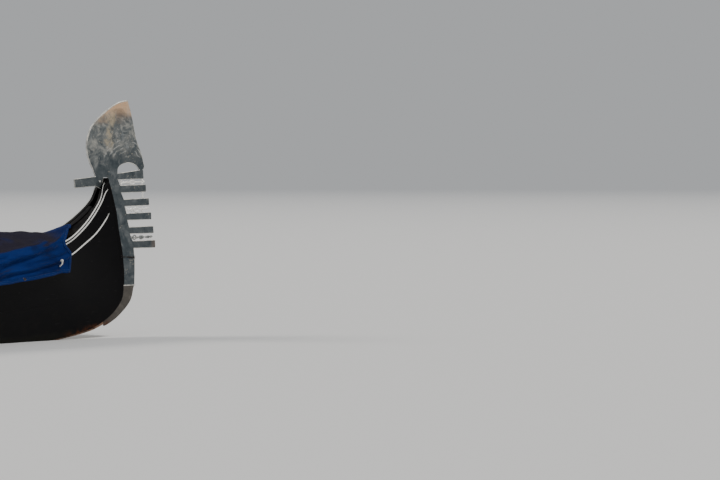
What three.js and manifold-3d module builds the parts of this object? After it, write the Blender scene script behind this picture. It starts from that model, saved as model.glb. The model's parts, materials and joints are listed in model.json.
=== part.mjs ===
// A lagoon gondola under its rain cover, in millimetres: +X to the bow, +Y to port, +Z up from the
// flat bottom.
import * as THREE from "three";
import Module from "manifold-3d";
import { mergeVertices } from "three/addons/utils/BufferGeometryUtils.js";

const wasm = await Module();
wasm.setup();

// Driving dimensions. X in the tables below is counted from the front of the stem, so it is negative,
// and z from a base line that lies BASE_DEPTH under the flat bottom.
const STEM_X = 5282;
const BASE_DEPTH = 60;
const PORT_HALF = 825;
const STARBOARD_HALF = 588;
const PLANK = 18;
const BAND_PROUD = 4;
const RAIL_DEPTH = 17;
const RAIL_PROUD = 14;
const BOTTOM_PLANK = 25;
const DECK_PLANK = 14;
const POST_HALF = 15.7;
const GAP = 0.3;
const SIDE_BULGE = 16;
const BLADE_THICK = 9;
const BAND_THICK = 14;
const STRIP_THICK = 24;
const COVER_THICK = 5;
const COVER_SKIRT = 190;

// Hull lines, bow to stern. Columns: sheer x, sheer z, half breadth at the sheer to starboard and to port,
// chine x, chine z, half breadth at the chine to starboard and to port, depth of the sheer band.
const HULL_COLUMNS = ["sx", "sz", "star", "port", "cx", "cz", "cStar", "cPort", "band"];
const HULL_STATIONS = [
  [-222, 1184, 20, 20, -102, 506, 20, 20, 186],
  [-268, 1151, 29, 29, -103, 467, 20, 20, 201],
  [-292, 1079, 37, 38, -111, 424, 20, 20, 164],
  [-345, 1003, 53, 55, -133, 387, 20, 20, 141],
  [-416, 934, 75, 79, -172, 342, 20, 20, 127],
  [-499, 871, 100, 107, -240, 291, 20, 20, 113],
  [-620, 806, 136, 148, -345, 241, 20, 20, 113],
  [-826, 765, 194, 216, -490, 206, 20, 20, 114],
  [-1026, 744, 244, 280, -690, 172, 26, 27, 116],
  [-1325, 721, 312, 366, -1035, 134, 58, 60, 117],
  [-1725, 694, 382, 464, -1500, 101, 118, 130, 118],
  [-2725, 638, 496, 646, -2640, 68, 232, 290, 118],
  [-3900, 590, 566, 772, -3900, BASE_DEPTH, 326, 432, 118],
  [-5150, 566, STARBOARD_HALF, PORT_HALF, -5150, BASE_DEPTH, 362, 500, 118],
  [-6500, 576, 580, 806, -6500, BASE_DEPTH, 348, 482, 118],
  [-7400, 610, 545, 730, -7440, 72, 290, 380, 118],
  [-8280, 676, 466, 602, -8400, 124, 205, 250, 118],
  [-9000, 777, 364, 448, -9230, 222, 122, 138, 118],
  [-9640, 917, 246, 285, -9900, 395, 50, 54, 120],
  [-10120, 1075, 144, 158, -10300, 610, 22, 22, 120],
  [-10430, 1222, 72, 76, -10530, 880, 20, 20, 120],
  [-10640, 1352, 21, 21, -10640, 1165, 20, 20, 120],
];

// Natural cubic spline through the points (ts, vs).
function spline(ts, vs) {
  const last = ts.length - 1;
  const bend = new Array(last + 1).fill(0);
  const ratio = new Array(last + 1).fill(0);
  const load = new Array(last + 1).fill(0);
  for (let i = 1; i < last; i++) {
    const before = ts[i] - ts[i - 1];
    const after = ts[i + 1] - ts[i];
    const slopes = (vs[i + 1] - vs[i]) / after - (vs[i] - vs[i - 1]) / before;
    const pivot = 2 * (before + after) - before * ratio[i - 1];
    ratio[i] = after / pivot;
    load[i] = (6 * slopes - before * load[i - 1]) / pivot;
  }
  for (let i = last - 1; i > 0; i--) bend[i] = load[i] - ratio[i] * bend[i + 1];
  return (t) => {
    let i = 0;
    while (i < last - 1 && t > ts[i + 1]) i++;
    const h = ts[i + 1] - ts[i];
    const a = (ts[i + 1] - t) / h;
    const b = 1 - a;
    const curve = ((a ** 3 - a) * bend[i] + (b ** 3 - b) * bend[i + 1]) * ((h * h) / 6);
    return a * vs[i] + b * vs[i + 1] + curve;
  };
}

// The parameter t along the hull is the length of the sheer line in profile, from the bow.
const stationT = [0];
for (let i = 1; i < HULL_STATIONS.length; i++) {
  const [x0, z0] = HULL_STATIONS[i - 1];
  const [x1, z1] = HULL_STATIONS[i];
  stationT.push(stationT[i - 1] + Math.hypot(x1 - x0, z1 - z0));
}
const T_END = stationT.at(-1);
const lines = {};
HULL_COLUMNS.forEach((name, column) => {
  lines[name] = spline(stationT, HULL_STATIONS.map((row) => row[column]));
});

// The t at which the sheer has a given x.
function tAtX(x) {
  let low = 0;
  let high = T_END;
  for (let step = 0; step < 40; step++) {
    const middle = (low + high) / 2;
    if (lines.sx(middle) > x) low = middle;
    else high = middle;
  }
  return low;
}

const T_STEPS_BOW = 14;
const T_STEPS_BODY = 46;
const T_BOW = tAtX(-825);
const allT = [];
for (let i = 0; i < T_STEPS_BOW; i++) allT.push((T_BOW * i) / T_STEPS_BOW);
for (let i = 0; i <= T_STEPS_BODY; i++) allT.push(T_BOW + ((T_END - T_BOW) * i) / T_STEPS_BODY);

// The hull is wider to port than to starboard, so its centre plane lies off the middle of its breadth.
const widest = (name) => Math.max(...allT.map((t) => lines[name](t)));
const CENTRE_PLANE_Y = -(widest("port") - widest("star")) / 2;

// The stations between two t, with both ends.
function between(from, to) {
  const EDGE = 12;
  return [from, ...allT.filter((t) => t > from + EDGE && t < to - EDGE), to];
}

// The outer face of the planking at t. side is 1 to port and -1 to starboard; down is the distance
// from the sheer along the ruling that joins the sheer to the chine.
function rulingLength(side, t) {
  const dy = lines[side > 0 ? "port" : "star"](t) - lines[side > 0 ? "cPort" : "cStar"](t);
  return Math.hypot(lines.sx(t) - lines.cx(t), dy, lines.sz(t) - Math.max(lines.cz(t), BASE_DEPTH));
}
function hullPoint(side, t, down) {
  const share = down / rulingLength(side, t);
  const half = lines[side > 0 ? "port" : "star"](t);
  const chine = lines[side > 0 ? "cPort" : "cStar"](t);
  const bulge = SIDE_BULGE * 4 * share * (1 - share) * Math.min(1, Math.max(0, half - 20) / 300);
  return new THREE.Vector3(
    lines.sx(t) + share * (lines.cx(t) - lines.sx(t)),
    half + share * (chine - half) + bulge,
    lines.sz(t) + share * (Math.max(lines.cz(t), BASE_DEPTH) - lines.sz(t)),
  );
}
const planked = (y, thick) => Math.max(y - thick, POST_HALF + GAP);

// Closed thin body between two grids of points of equal size, faces turned outward.
function shell(outer, inner) {
  const rows = outer.length;
  const cols = outer[0].length;
  const position = [];
  for (const p of [...outer, ...inner].flat()) position.push(p.x, p.y, p.z);
  const at = (face, i, j) => face * rows * cols + i * cols + j;
  const index = [];
  const quad = (a, b, c, d) => index.push(a, b, c, a, c, d);
  for (let i = 0; i < rows - 1; i++) {
    for (let j = 0; j < cols - 1; j++) {
      quad(at(0, i, j), at(0, i + 1, j), at(0, i + 1, j + 1), at(0, i, j + 1));
      quad(at(1, i, j), at(1, i, j + 1), at(1, i + 1, j + 1), at(1, i + 1, j));
    }
    quad(at(0, i, 0), at(1, i, 0), at(1, i + 1, 0), at(0, i + 1, 0));
    quad(at(0, i, cols - 1), at(0, i + 1, cols - 1), at(1, i + 1, cols - 1), at(1, i, cols - 1));
  }
  for (let j = 0; j < cols - 1; j++) {
    quad(at(0, 0, j), at(0, 0, j + 1), at(1, 0, j + 1), at(1, 0, j));
    quad(at(0, rows - 1, j), at(1, rows - 1, j), at(1, rows - 1, j + 1), at(0, rows - 1, j + 1));
  }
  return closed(position, index);
}

// Geometry from vertices and triangles, turned inside out when its volume comes out negative.
function closed(position, index) {
  const corner = (i) => new THREE.Vector3().fromArray(position, 3 * i);
  let volume = 0;
  for (let i = 0; i < index.length; i += 3) {
    volume += corner(index[i]).dot(corner(index[i + 1]).cross(corner(index[i + 2])));
  }
  if (volume < 0) {
    for (let i = 0; i < index.length; i += 3) [index[i + 1], index[i + 2]] = [index[i + 2], index[i + 1]];
  }
  const geometry = new THREE.BufferGeometry();
  geometry.setAttribute("position", new THREE.Float32BufferAttribute(position, 3));
  geometry.setIndex(index);
  geometry.computeVertexNormals();
  return geometry;
}

// A flat plate in the centre plane, from a shape drawn in x and z.
function plate(shape, thick, curveSegments = 8) {
  const geometry = new THREE.ExtrudeGeometry(shape, { depth: thick, bevelEnabled: false, curveSegments });
  geometry.rotateX(Math.PI / 2);
  geometry.translate(0, thick / 2, 0);
  return geometry;
}

function solid(geometry) {
  const bare = geometry.clone();
  bare.deleteAttribute("normal");
  bare.deleteAttribute("uv");
  const merged = mergeVertices(bare, 1e-3);
  return new wasm.Manifold(
    new wasm.Mesh({
      numProp: 3,
      vertProperties: merged.attributes.position.array,
      triVerts: new Uint32Array(merged.index.array),
    }),
  );
}
function geometryOf(made) {
  const mesh = made.getMesh();
  return closed(Array.from(mesh.vertProperties), Array.from(mesh.triVerts));
}

// Finishes of the photographed boat.
const lacquer = { color: 0x0b0b10, roughness: 0.18, metalness: 0 };
const railPaint = { color: 0x14141c, roughness: 0.2, metalness: 0 };
const steel = { color: 0x6f7884, roughness: 0.42, metalness: 0.9 };
const wornSteel = { color: 0x5c5650, roughness: 0.6, metalness: 0.7 };
const coverCloth = { color: 0x14245f, roughness: 0.75, metalness: 0 };
const walnut = { color: 0x6b3d1e, roughness: 0.4, metalness: 0 };
const tieCord = { color: 0xd8d8d4, roughness: 0.8, metalness: 0 };

const gondola = new THREE.Group();
const boat = new THREE.Group();
boat.position.set(STEM_X, CENTRE_PLANE_Y, -BASE_DEPTH);
gondola.add(boat);
function add(name, geometry, finish, parent = boat) {
  const mesh = new THREE.Mesh(geometry, new THREE.MeshStandardMaterial(finish));
  mesh.name = name;
  parent.add(mesh);
  return mesh;
}

// Side planking. Each strake runs from one seam to the next; a seam is a distance down the ruling.
const STRAKE_SEAM = 0.52;
const seams = {
  sheer: () => 0,
  rail: (side, t) => RAIL_DEPTH * (lines.band(t) / 120),
  band: (side, t) => lines.band(t),
  middle: (side, t) => {
    const below = rulingLength(side, t) - lines.band(t);
    return lines.band(t) + STRAKE_SEAM * Math.max(below, 0);
  },
  chine: rulingLength,
};
// The lower planking and the bottom are butted at two stations, so each is in three lengths.
const BUTT_FORE_X = -3900;
const BUTT_AFT_X = -6500;
const BUTT_GAP = 0.6;
const butted = (from, to) => {
  const fore = tAtX(BUTT_FORE_X);
  const aft = tAtX(BUTT_AFT_X);
  return [
    ["fore_", between(from, fore)],
    ["mid_", between(fore + BUTT_GAP, aft - BUTT_GAP)],
    ["aft_", between(aft, to)],
  ];
};
// Columns: name, upper seam, lower seam, proud of the planking, thickness, columns of faces, in lengths.
const STRAKES = [
  ["lower_strake", "middle", "chine", 0, PLANK, 3, true],
  ["upper_strake", "band", "middle", 0, PLANK, 3, false],
  ["sheer_band", "sheer", "band", BAND_PROUD, PLANK + BAND_PROUD, 2, false],
];
const SEAM_GAP = 0.4;
const RAIL_GAP = 1.2;
const mirrored = (p, side) => new THREE.Vector3(p.x, side * p.y, p.z);
for (const [side, word] of [[1, "port"], [-1, "starboard"]]) {
  for (const [name, upper, lower, proud, thick, faces, inLengths] of STRAKES) {
    for (const [length, ts] of inLengths ? butted(0, T_END) : [["", allT]]) {
      const outer = [];
      const inner = [];
      for (const t of ts) {
        const from = seams[upper](side, t) + SEAM_GAP / 2;
        const to = seams[lower](side, t) - SEAM_GAP / 2;
        const outRow = [];
        const inRow = [];
        for (let j = 0; j <= faces; j++) {
          const p = hullPoint(side, t, from + ((to - from) * j) / faces);
          outRow.push(mirrored(new THREE.Vector3(p.x, p.y + proud, p.z), side));
          inRow.push(mirrored(new THREE.Vector3(p.x, planked(p.y + proud, thick), p.z), side));
        }
        outer.push(outRow);
        inner.push(inRow);
      }
      add(name + "_" + length + word, shell(outer, inner), lacquer);
    }
  }
  // The rail is nailed outside the sheer band and thins out towards both ends.
  const outer = [];
  const inner = [];
  for (const t of allT) {
    const half = lines[side > 0 ? "port" : "star"](t);
    const proud = BAND_PROUD + RAIL_PROUD * Math.min(1, 0.35 + half / 200);
    const outRow = [];
    const inRow = [];
    for (let j = 0; j <= 2; j++) {
      const p = hullPoint(side, t, (seams.rail(side, t) * j) / 2);
      const round = j === 1 ? 0 : 3;
      outRow.push(mirrored(new THREE.Vector3(p.x, p.y + proud - round, p.z), side));
      inRow.push(mirrored(new THREE.Vector3(p.x, p.y + BAND_PROUD + RAIL_GAP, p.z), side));
    }
    outer.push(outRow);
    inner.push(inRow);
  }
  add("gunwale_rail_" + word, shell(outer, inner), railPaint);
}

// Flat bottom between the side planks.
const BOTTOM_FRONT_X = -1010;
const BOTTOM_REAR_X = -9560;
for (const [length, ts] of butted(tAtX(BOTTOM_FRONT_X), tAtX(BOTTOM_REAR_X))) {
  const lower = [];
  const upper = [];
  for (const t of ts) {
    const z = Math.max(lines.cz(t), BASE_DEPTH);
    const starEdge = -(planked(lines.cStar(t), PLANK) - SEAM_GAP);
    const portEdge = planked(lines.cPort(t), PLANK) - SEAM_GAP;
    const row = [0, 0.5, 1].map((share) => starEdge + share * (portEdge - starEdge));
    lower.push(row.map((y) => new THREE.Vector3(lines.cx(t), y, z)));
    upper.push(row.map((y) => new THREE.Vector3(lines.cx(t), y, z + BOTTOM_PLANK)));
  }
  add(length + "bottom", shell(lower, upper), lacquer);
}

// Stem and stern posts in the centre plane, x and z. The forefoot is the edge of the planking there.
const forefoot = [
  [-560, 193],
  [-490, 206],
  [-416, 222],
  [-345, 241],
  [-290, 264],
  [-240, 291],
  [-172, 342],
  [-133, 387],
  [-111, 424],
  [-103, 467],
  [-102, 502],
];
const spineAft = [
  [-90, 502],
  [-91, 600],
  [-103, 715],
  [-118, 792],
  [-133, 869],
  [-149, 971],
  [-164, 1028],
  [-176, 1072],
  [-191, 1123],
  [-206, 1161],
];
const vectors = (points, dx = 0, dz = 0) => points.map(([x, z]) => new THREE.Vector2(x + dx, z + dz));
const POST_CLEAR = 2.5;
const POST_AHEAD = 2;
{
  const stem = new THREE.Shape();
  stem.moveTo(-652, 180);
  stem.splineThru(vectors(forefoot, POST_AHEAD, 0));
  stem.lineTo(-90 - POST_CLEAR, 506);
  stem.splineThru(vectors(spineAft.slice(1), -POST_CLEAR, 0));
  stem.lineTo(-218 - POST_CLEAR, 1187);
  stem.lineTo(-239, 1187);
  stem.lineTo(-253, 1132);
  stem.lineTo(-257, 1106);
  stem.lineTo(-258, 1030);
  stem.lineTo(-190, 640);
  stem.quadraticCurveTo(-180, 490, -290, 392);
  stem.lineTo(-400, 322);
  stem.lineTo(-648, 236);
  add("stem_post", plate(stem, 2 * POST_HALF, 4), lacquer);
}
{
  const stern = new THREE.Shape();
  stern.moveTo(-9900, 392);
  const sternFoot = [
    [-10120, 494],
    [-10300, 611],
    [-10440, 748],
    [-10530, 881],
    [-10602, 1033],
    [-10640, 1165],
  ];
  stern.splineThru(vectors(sternFoot));
  stern.lineTo(-10641, 1335);
  stern.lineTo(-10560, 1290);
  stern.quadraticCurveTo(-10500, 960, -10260, 720);
  stern.lineTo(-9900, 470);
  add("stern_post", plate(stern, 2 * POST_HALF, 4), lacquer);
}

// Decks: cambered planks either side of a ridge. crown is the height of the ridge over the sheer.
const DECK_LOW = 4;
const DECK_SIDE_GAP = 1.5;
const FORE_CROWN = 108;
const AFT_CROWN = 46;
const CAMBER_HALF = 225;
const crownAt = (t, most) => most * Math.tanh((lines.star(t) / CAMBER_HALF) ** 2);
function deckHalf(side, t) {
  const edge = hullPoint(side, t, DECK_LOW + 1.5 * DECK_PLANK);
  return planked(edge.y + BAND_PROUD, PLANK + BAND_PROUD) - DECK_SIDE_GAP;
}
function deckTop(t, y, most) {
  const share = Math.min(1, Math.abs(y) / deckHalf(y < 0 ? -1 : 1, t));
  return lines.sz(t) - DECK_LOW + crownAt(t, most) * (1 - share ** 1.35);
}
const DECK_SHARES = [0, 0.2, 0.4, 0.6, 0.8, 1];
const FORE_DECK_REAR_X = -2580;
const AFT_DECK_FRONT_X = -6980;
// Columns: name, front x, rear x, crown, height of the ridge moulding.
const DECKS = [
  ["fore_deck", -345, FORE_DECK_REAR_X, FORE_CROWN, 6],
  ["aft_deck", AFT_DECK_FRONT_X, -10360, AFT_CROWN, 13],
];
const RIDGE_HALF = 24;
const RIDGE_LIFT = 0.6;
for (const [name, front, rear, most, ridgeHigh] of DECKS) {
  const ts = between(tAtX(front), tAtX(rear));
  for (const [side, word] of [[1, "port"], [-1, "starboard"]]) {
    const top = [];
    const under = [];
    for (const t of ts) {
      const row = DECK_SHARES.map((share) => {
        const y = side * Math.max(share * deckHalf(side, t), GAP / 2);
        return new THREE.Vector3(lines.sx(t), y, deckTop(t, y, most));
      });
      top.push(row);
      under.push(row.map((p) => new THREE.Vector3(p.x, p.y, p.z - DECK_PLANK)));
    }
    add(name + "_" + word, shell(top, under), lacquer);
  }
  const cap = [];
  const seat = [];
  for (const t of ts) {
    const half = Math.min(RIDGE_HALF, 0.55 * deckHalf(-1, t));
    const low = [-1, 0, 1].map((part) => {
      return new THREE.Vector3(lines.sx(t), part * half, deckTop(t, 0, most) + RIDGE_LIFT);
    });
    seat.push(low);
    cap.push(low.map((p, k) => new THREE.Vector3(p.x, p.y, p.z + (k === 1 ? ridgeHigh : 3))));
  }
  add(name + "_ridge", shell(cap, seat), railPaint);
}

// Upright board across the hull at the open edge of a deck.
const COAMING_SIDE_GAP = 8;
const COAMING_DEPTH = 150;
const COAMING_THICK = 22;
const COAMING_CLEAR = 6;
function innerHalf(side, t, z) {
  const low = Math.max(lines.cz(t), BASE_DEPTH);
  const down = (rulingLength(side, t) * (lines.sz(t) - z)) / (lines.sz(t) - low);
  return planked(hullPoint(side, t, Math.max(down, 0)).y, PLANK) - COAMING_SIDE_GAP;
}
function crossBoard(x, most) {
  const t = tAtX(x);
  const top = [];
  const under = [];
  for (const offset of [0, -COAMING_THICK]) {
    const topRow = [];
    const underRow = [];
    for (const share of [-1, -0.66, -0.33, 0, 0.33, 0.66, 1]) {
      const side = share < 0 ? -1 : 1;
      const y = share * (deckHalf(side, t) - COAMING_SIDE_GAP);
      const low = lines.sz(t) - COAMING_DEPTH;
      topRow.push(new THREE.Vector3(lines.sx(t) + offset, y, deckTop(t, y, most)));
      underRow.push(new THREE.Vector3(lines.sx(t) + offset, share * innerHalf(side, t, low), low));
    }
    top.push(topRow);
    under.push(underRow);
  }
  return shell(top, under);
}
add("aft_coaming", crossBoard(AFT_DECK_FRONT_X + COAMING_CLEAR + COAMING_THICK, AFT_CROWN), lacquer);
add("fore_coaming", crossBoard(FORE_DECK_REAR_X - COAMING_CLEAR, FORE_CROWN), lacquer);

// The bow iron: head, six comb teeth, rear tooth and spine in one plate.
// Columns, top tooth first: underside z at the root and at the outer end, height there, outer x, root x.
const TEETH = [
  [1174, 1180, 42, 58, 71, -128],
  [1092, 1096, 48, 50, 91, -104],
  [1005, 1010, 46, 49, 115, -77],
  [916, 919, 46, 49, 133, -56],
  [829, 831, 45, 48, 150, -36],
  [737, 738, 48, 51, 164, -8],
];
const JOINT_Z = 502;
const HEAD_REAR = [
  [-120, 1666],
  [-180, 1637],
  [-282, 1565],
  [-344, 1494],
  [-373, 1402],
  [-363, 1320],
  [-331, 1249],
  [-308, 1197],
];
{
  const blade = new THREE.Shape();
  blade.moveTo(-52, 1679);
  blade.splineThru(vectors(HEAD_REAR));
  blade.lineTo(-470, 1181);
  blade.lineTo(-464, 1123);
  blade.lineTo(-313, 1134);
  blade.lineTo(-287, 1127);
  blade.lineTo(-261, 1112);
  blade.lineTo(-257, 1136);
  blade.lineTo(-243, 1191);
  blade.lineTo(-217, 1191);
  blade.lineTo(-206, 1161);
  blade.splineThru(vectors([...spineAft].reverse().slice(1, 9)));
  blade.lineTo(-90, JOINT_Z);
  blade.lineTo(-4, JOINT_Z);
  blade.quadraticCurveTo(1, 600, -1, 671);
  for (const [z, endZ, high, endHigh, outer, root] of [...TEETH].reverse()) {
    blade.lineTo(root, z);
    blade.lineTo(outer - 4, endZ);
    blade.lineTo(outer, endZ + 4);
    blade.lineTo(outer - 3, endZ + endHigh - 4);
    blade.lineTo(outer - 7, endZ + endHigh);
    if (z < 1150) blade.lineTo(root - 8, z + high);
  }
  blade.lineTo(72, 1246);
  blade.lineTo(76, 1262);
  blade.splineThru(vectors([[54, 1340], [14, 1433], [-20, 1576], [-52, 1679]]));
  const arch = new THREE.Path();
  arch.moveTo(-134, 1217);
  arch.splineThru(vectors([[-128, 1251], [-101, 1272], [-54, 1283], [-7, 1274], [20, 1255], [34, 1238]]));
  arch.lineTo(-134, 1217);
  blade.holes.push(arch);
  add("ferro_blade", plate(blade, BLADE_THICK, 5), steel);
}

// Pierced ornaments in the first, third and fifth gaps of the comb.
const ORNAMENT_THICK = 7;
const ORNAMENT_GAP = 0.8;
[0, 2, 4].forEach((gap, k) => {
  const [upperZ, upperEndZ, , , upperOuter, upperRoot] = TEETH[gap];
  const [lowerZ, lowerEndZ, lowerHigh, lowerEndHigh, lowerOuter, lowerRoot] = TEETH[gap + 1];
  const left = Math.max(upperRoot, lowerRoot) + 10;
  const right = Math.min(upperOuter, lowerOuter) - 16;
  // Heights of the gap's floor and roof at a share of the way from the root to the outer end.
  const share = (x) => (x - lowerRoot) / (lowerOuter - lowerRoot);
  const topZ = lowerZ + lowerHigh;
  const floorZ = (x) => topZ + share(x) * (lowerEndZ + lowerEndHigh - topZ) + ORNAMENT_GAP;
  const roofZ = (x) => upperZ + share(x) * (upperEndZ - upperZ) - ORNAMENT_GAP;
  const middle = (left + right) / 2;
  const frieze = new THREE.Shape();
  frieze.moveTo(left, floorZ(left));
  frieze.lineTo(right, floorZ(right));
  frieze.lineTo(right - 4, roofZ(right - 4));
  frieze.lineTo(left, roofZ(left));
  frieze.quadraticCurveTo(left + 12, (floorZ(left) + roofZ(left)) / 2, left, floorZ(left));
  for (const centre of [(left + middle) / 2 + 4, (middle + right) / 2]) {
    const hole = new THREE.Path();
    const half = (roofZ(centre) - floorZ(centre)) / 2;
    hole.absarc(centre, floorZ(centre) + half, 0.6 * half, 0, 2 * Math.PI, true);
    frieze.holes.push(hole);
  }
  add("comb_ornament_" + (k + 1), plate(frieze, ORNAMENT_THICK, 6), steel);
});

// Dark wire tie folded round the front of the spine just below the comb.
const CLIP_Z = 682;
const CLIP_HIGH = 9;
const CLIP_WALL = 4;
const SPINE_REAR_X = -84;
const SPINE_FRONT_X = 0;
{
  const inY = BLADE_THICK / 2 + GAP;
  const outY = inY + CLIP_WALL;
  const clip = new THREE.Shape(
    vectors([
      [SPINE_REAR_X, -outY],
      [SPINE_FRONT_X + CLIP_WALL, -outY],
      [SPINE_FRONT_X + CLIP_WALL, outY],
      [SPINE_REAR_X, outY],
      [SPINE_REAR_X, inY],
      [SPINE_FRONT_X + GAP, inY],
      [SPINE_FRONT_X + GAP, -inY],
      [SPINE_REAR_X, -inY],
    ]),
  );
  const folded = new THREE.ExtrudeGeometry(clip, { depth: CLIP_HIGH, bevelEnabled: false });
  folded.translate(0, 0, CLIP_Z - CLIP_HIGH / 2);
  add("spine_clip", folded, wornSteel);
}

// Lower iron: a band over the forefoot, then a strip along the bottom to under the water.
const BAND_FRONT = [[-16, 482], [-27, 433], [-50, 389], [-98, 339], [-152, 296], [-207, 264], [-243, 249]];
{
  const inner = vectors(forefoot.slice(5), POST_AHEAD + POST_CLEAR, 0);
  const band = new THREE.Shape();
  band.moveTo(-8, JOINT_Z - GAP);
  band.splineThru(vectors(BAND_FRONT));
  band.lineTo(-249, 279);
  band.splineThru([new THREE.Vector2(-233, 291), ...inner.slice(1, 5)]);
  band.lineTo(-102 + POST_AHEAD + POST_CLEAR, JOINT_Z - GAP);
  add("ferro_lower_band", plate(band, BAND_THICK, 5), wornSteel);
}
const STRIP_HIGHS = [9, 10, 12, 14, 17];
const STRIP_REAR = [-682, 170];
{
  const strip = new THREE.Shape();
  strip.moveTo(-254, 280);
  const upper = vectors(forefoot.slice(0, 5), 0, -POST_CLEAR);
  const lower = upper.map((point, k) => new THREE.Vector2(point.x, point.y - STRIP_HIGHS[k]));
  strip.splineThru([...upper.reverse(), new THREE.Vector2(...STRIP_REAR)]);
  strip.lineTo(STRIP_REAR[0], STRIP_REAR[1] - STRIP_HIGHS[0]);
  strip.splineThru([...lower, new THREE.Vector2(-252, 261)]);
  add("ferro_keel_strip", plate(strip, STRIP_THICK, 4), wornSteel);
}

// Curled iron on the stern post.
{
  const iron = new THREE.Shape();
  iron.moveTo(-10641, 1165);
  iron.lineTo(-10641, 1352);
  iron.quadraticCurveTo(-10628, 1420, -10668, 1462);
  iron.quadraticCurveTo(-10720, 1440, -10728, 1385);
  iron.quadraticCurveTo(-10700, 1402, -10686, 1380);
  iron.quadraticCurveTo(-10668, 1300, -10660, 1165);
  add("stern_iron", plate(iron, BLADE_THICK, 6), steel);
}

// Rowing crutch on the starboard quarter, in the socket of its block.
const FORCOLA_X = -7880;
const BLOCK_LONG = 330;
const BLOCK_WIDE = 92;
const BLOCK_HIGH = 96;
const SOCKET = [82, 38];
const TENON = [72, 28];
const forcolaT = tAtX(FORCOLA_X);
const blockY = -(deckHalf(-1, forcolaT) - BLOCK_WIDE / 2 - 16);
const blockBottom = deckTop(forcolaT, blockY + BLOCK_WIDE / 2, AFT_CROWN) + 3;
const blockTurn = Math.atan2(lines.star(tAtX(FORCOLA_X + 150)) - lines.star(tAtX(FORCOLA_X - 150)), 300);
const blockFoot = (dx) =>
  deckTop(tAtX(FORCOLA_X + dx), blockY + BLOCK_WIDE / 2, AFT_CROWN) + 4 - blockBottom;
const quarter = new THREE.Group();
quarter.position.set(FORCOLA_X, blockY, blockBottom);
quarter.rotation.z = -blockTurn;
boat.add(quarter);
{
  const end = BLOCK_LONG / 2;
  const topEnd = BLOCK_LONG / 3.2;
  const outline = new THREE.Shape();
  outline.moveTo(-end, blockFoot(-end));
  outline.lineTo(0, blockFoot(0));
  outline.lineTo(end, blockFoot(end));
  outline.quadraticCurveTo(end - 10, BLOCK_HIGH * 0.7, topEnd, BLOCK_HIGH);
  outline.lineTo(-topEnd, BLOCK_HIGH);
  outline.quadraticCurveTo(-end + 10, BLOCK_HIGH * 0.7, -end, blockFoot(-end));
  const socket = new THREE.BoxGeometry(SOCKET[0], SOCKET[1], BLOCK_HIGH);
  socket.translate(0, 0, 8 + BLOCK_HIGH / 2);
  const block = solid(plate(outline, BLOCK_WIDE, 5)).subtract(solid(socket));
  add("forcola_block", geometryOf(block), lacquer, quarter);
}
{
  // Columns of the crutch's sections: z above the block, centre x, centre y, half length, half width.
  const sections = [
    [0, 0, 0, 74, 30],
    [90, -4, 0, 62, 26],
    [180, -22, 4, 50, 24],
    [260, -48, 10, 48, 24],
    [330, -58, 6, 56, 25],
    [385, -36, -4, 76, 26],
    [420, -16, -8, 92, 25],
    [475, -8, -10, 88, 20],
  ];
  const SIDES = 12;
  const position = [];
  for (const [z, x, y, long, wide] of sections) {
    for (let k = 0; k < SIDES; k++) {
      const angle = (2 * Math.PI * (k + 0.5)) / SIDES;
      position.push(x + long * Math.cos(angle), y + wide * Math.sin(angle), z);
    }
  }
  const index = [];
  for (let i = 0; i < sections.length - 1; i++) {
    for (let k = 0; k < SIDES; k++) {
      const next = (k + 1) % SIDES;
      const a = i * SIDES + k;
      const b = i * SIDES + next;
      index.push(a, b, b + SIDES, a, b + SIDES, a + SIDES);
    }
  }
  const last = (sections.length - 1) * SIDES;
  for (let k = 1; k < SIDES - 1; k++) {
    index.push(0, k + 1, k);
    index.push(last, last + k, last + k + 1);
  }
  const crutch = closed(position, index);
  const tenon = new THREE.BoxGeometry(TENON[0], TENON[1], BLOCK_HIGH);
  tenon.translate(0, 0, 15 - BLOCK_HIGH / 2 + 10);
  // The oar lies in the notch that opens aft at the top.
  const NOTCH_R = 24;
  const notch = new THREE.Shape();
  notch.moveTo(-26 + NOTCH_R, 500);
  notch.lineTo(-26 + NOTCH_R, 432);
  notch.absarc(-26, 432, NOTCH_R, 0, -Math.PI, true);
  notch.lineTo(-26 - NOTCH_R, 500);
  const joined = solid(crutch).add(solid(tenon)).subtract(solid(plate(notch, 120, 5)));
  const forcola = add("forcola", geometryOf(joined), walnut, quarter);
  forcola.position.z = BLOCK_HIGH + GAP;
}

// Sloping board for the rower's rear foot, on the aft deck, to port of the ridge.
const FOOTBOARD_X = -8640;
const FOOTBOARD = [300, 210];
const FOOTBOARD_HIGH = [26, 92];
{
  const top = [];
  const under = [];
  for (let i = 0; i <= 3; i++) {
    const x = FOOTBOARD_X + FOOTBOARD[0] * (0.5 - i / 3);
    const t = tAtX(x);
    const rise = FOOTBOARD_HIGH[0] + ((FOOTBOARD_HIGH[1] - FOOTBOARD_HIGH[0]) * i) / 3;
    const level = deckTop(tAtX(FOOTBOARD_X), RIDGE_HALF, AFT_CROWN);
    const row = [];
    for (let j = 0; j <= 3; j++) {
      const y = RIDGE_HALF + 14 + (FOOTBOARD[1] * j) / 3;
      row.push(new THREE.Vector3(x, y, deckTop(t, y, AFT_CROWN) + 1.2));
    }
    under.push(row);
    top.push(row.map((p) => new THREE.Vector3(p.x, p.y, level + rise + 20)));
  }
  add("footboard", shell(top, under), walnut);
}

// Rain cover: a roof from the ridge to the rails with a skirt down each side.
const COVER_REAR_X = -7160;
const COVER_CLEAR = 9;
const COVER_ROWS = 38;
const SKIRT_FRONT = 218;
const coverRidge = spline(
  [484, 665, 843, 1018, 1400, 1800, 2800, 4200, 5600, 7160],
  [907, 855, 855, 857, 856, 848, 816, 779, 754, 750],
);
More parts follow.
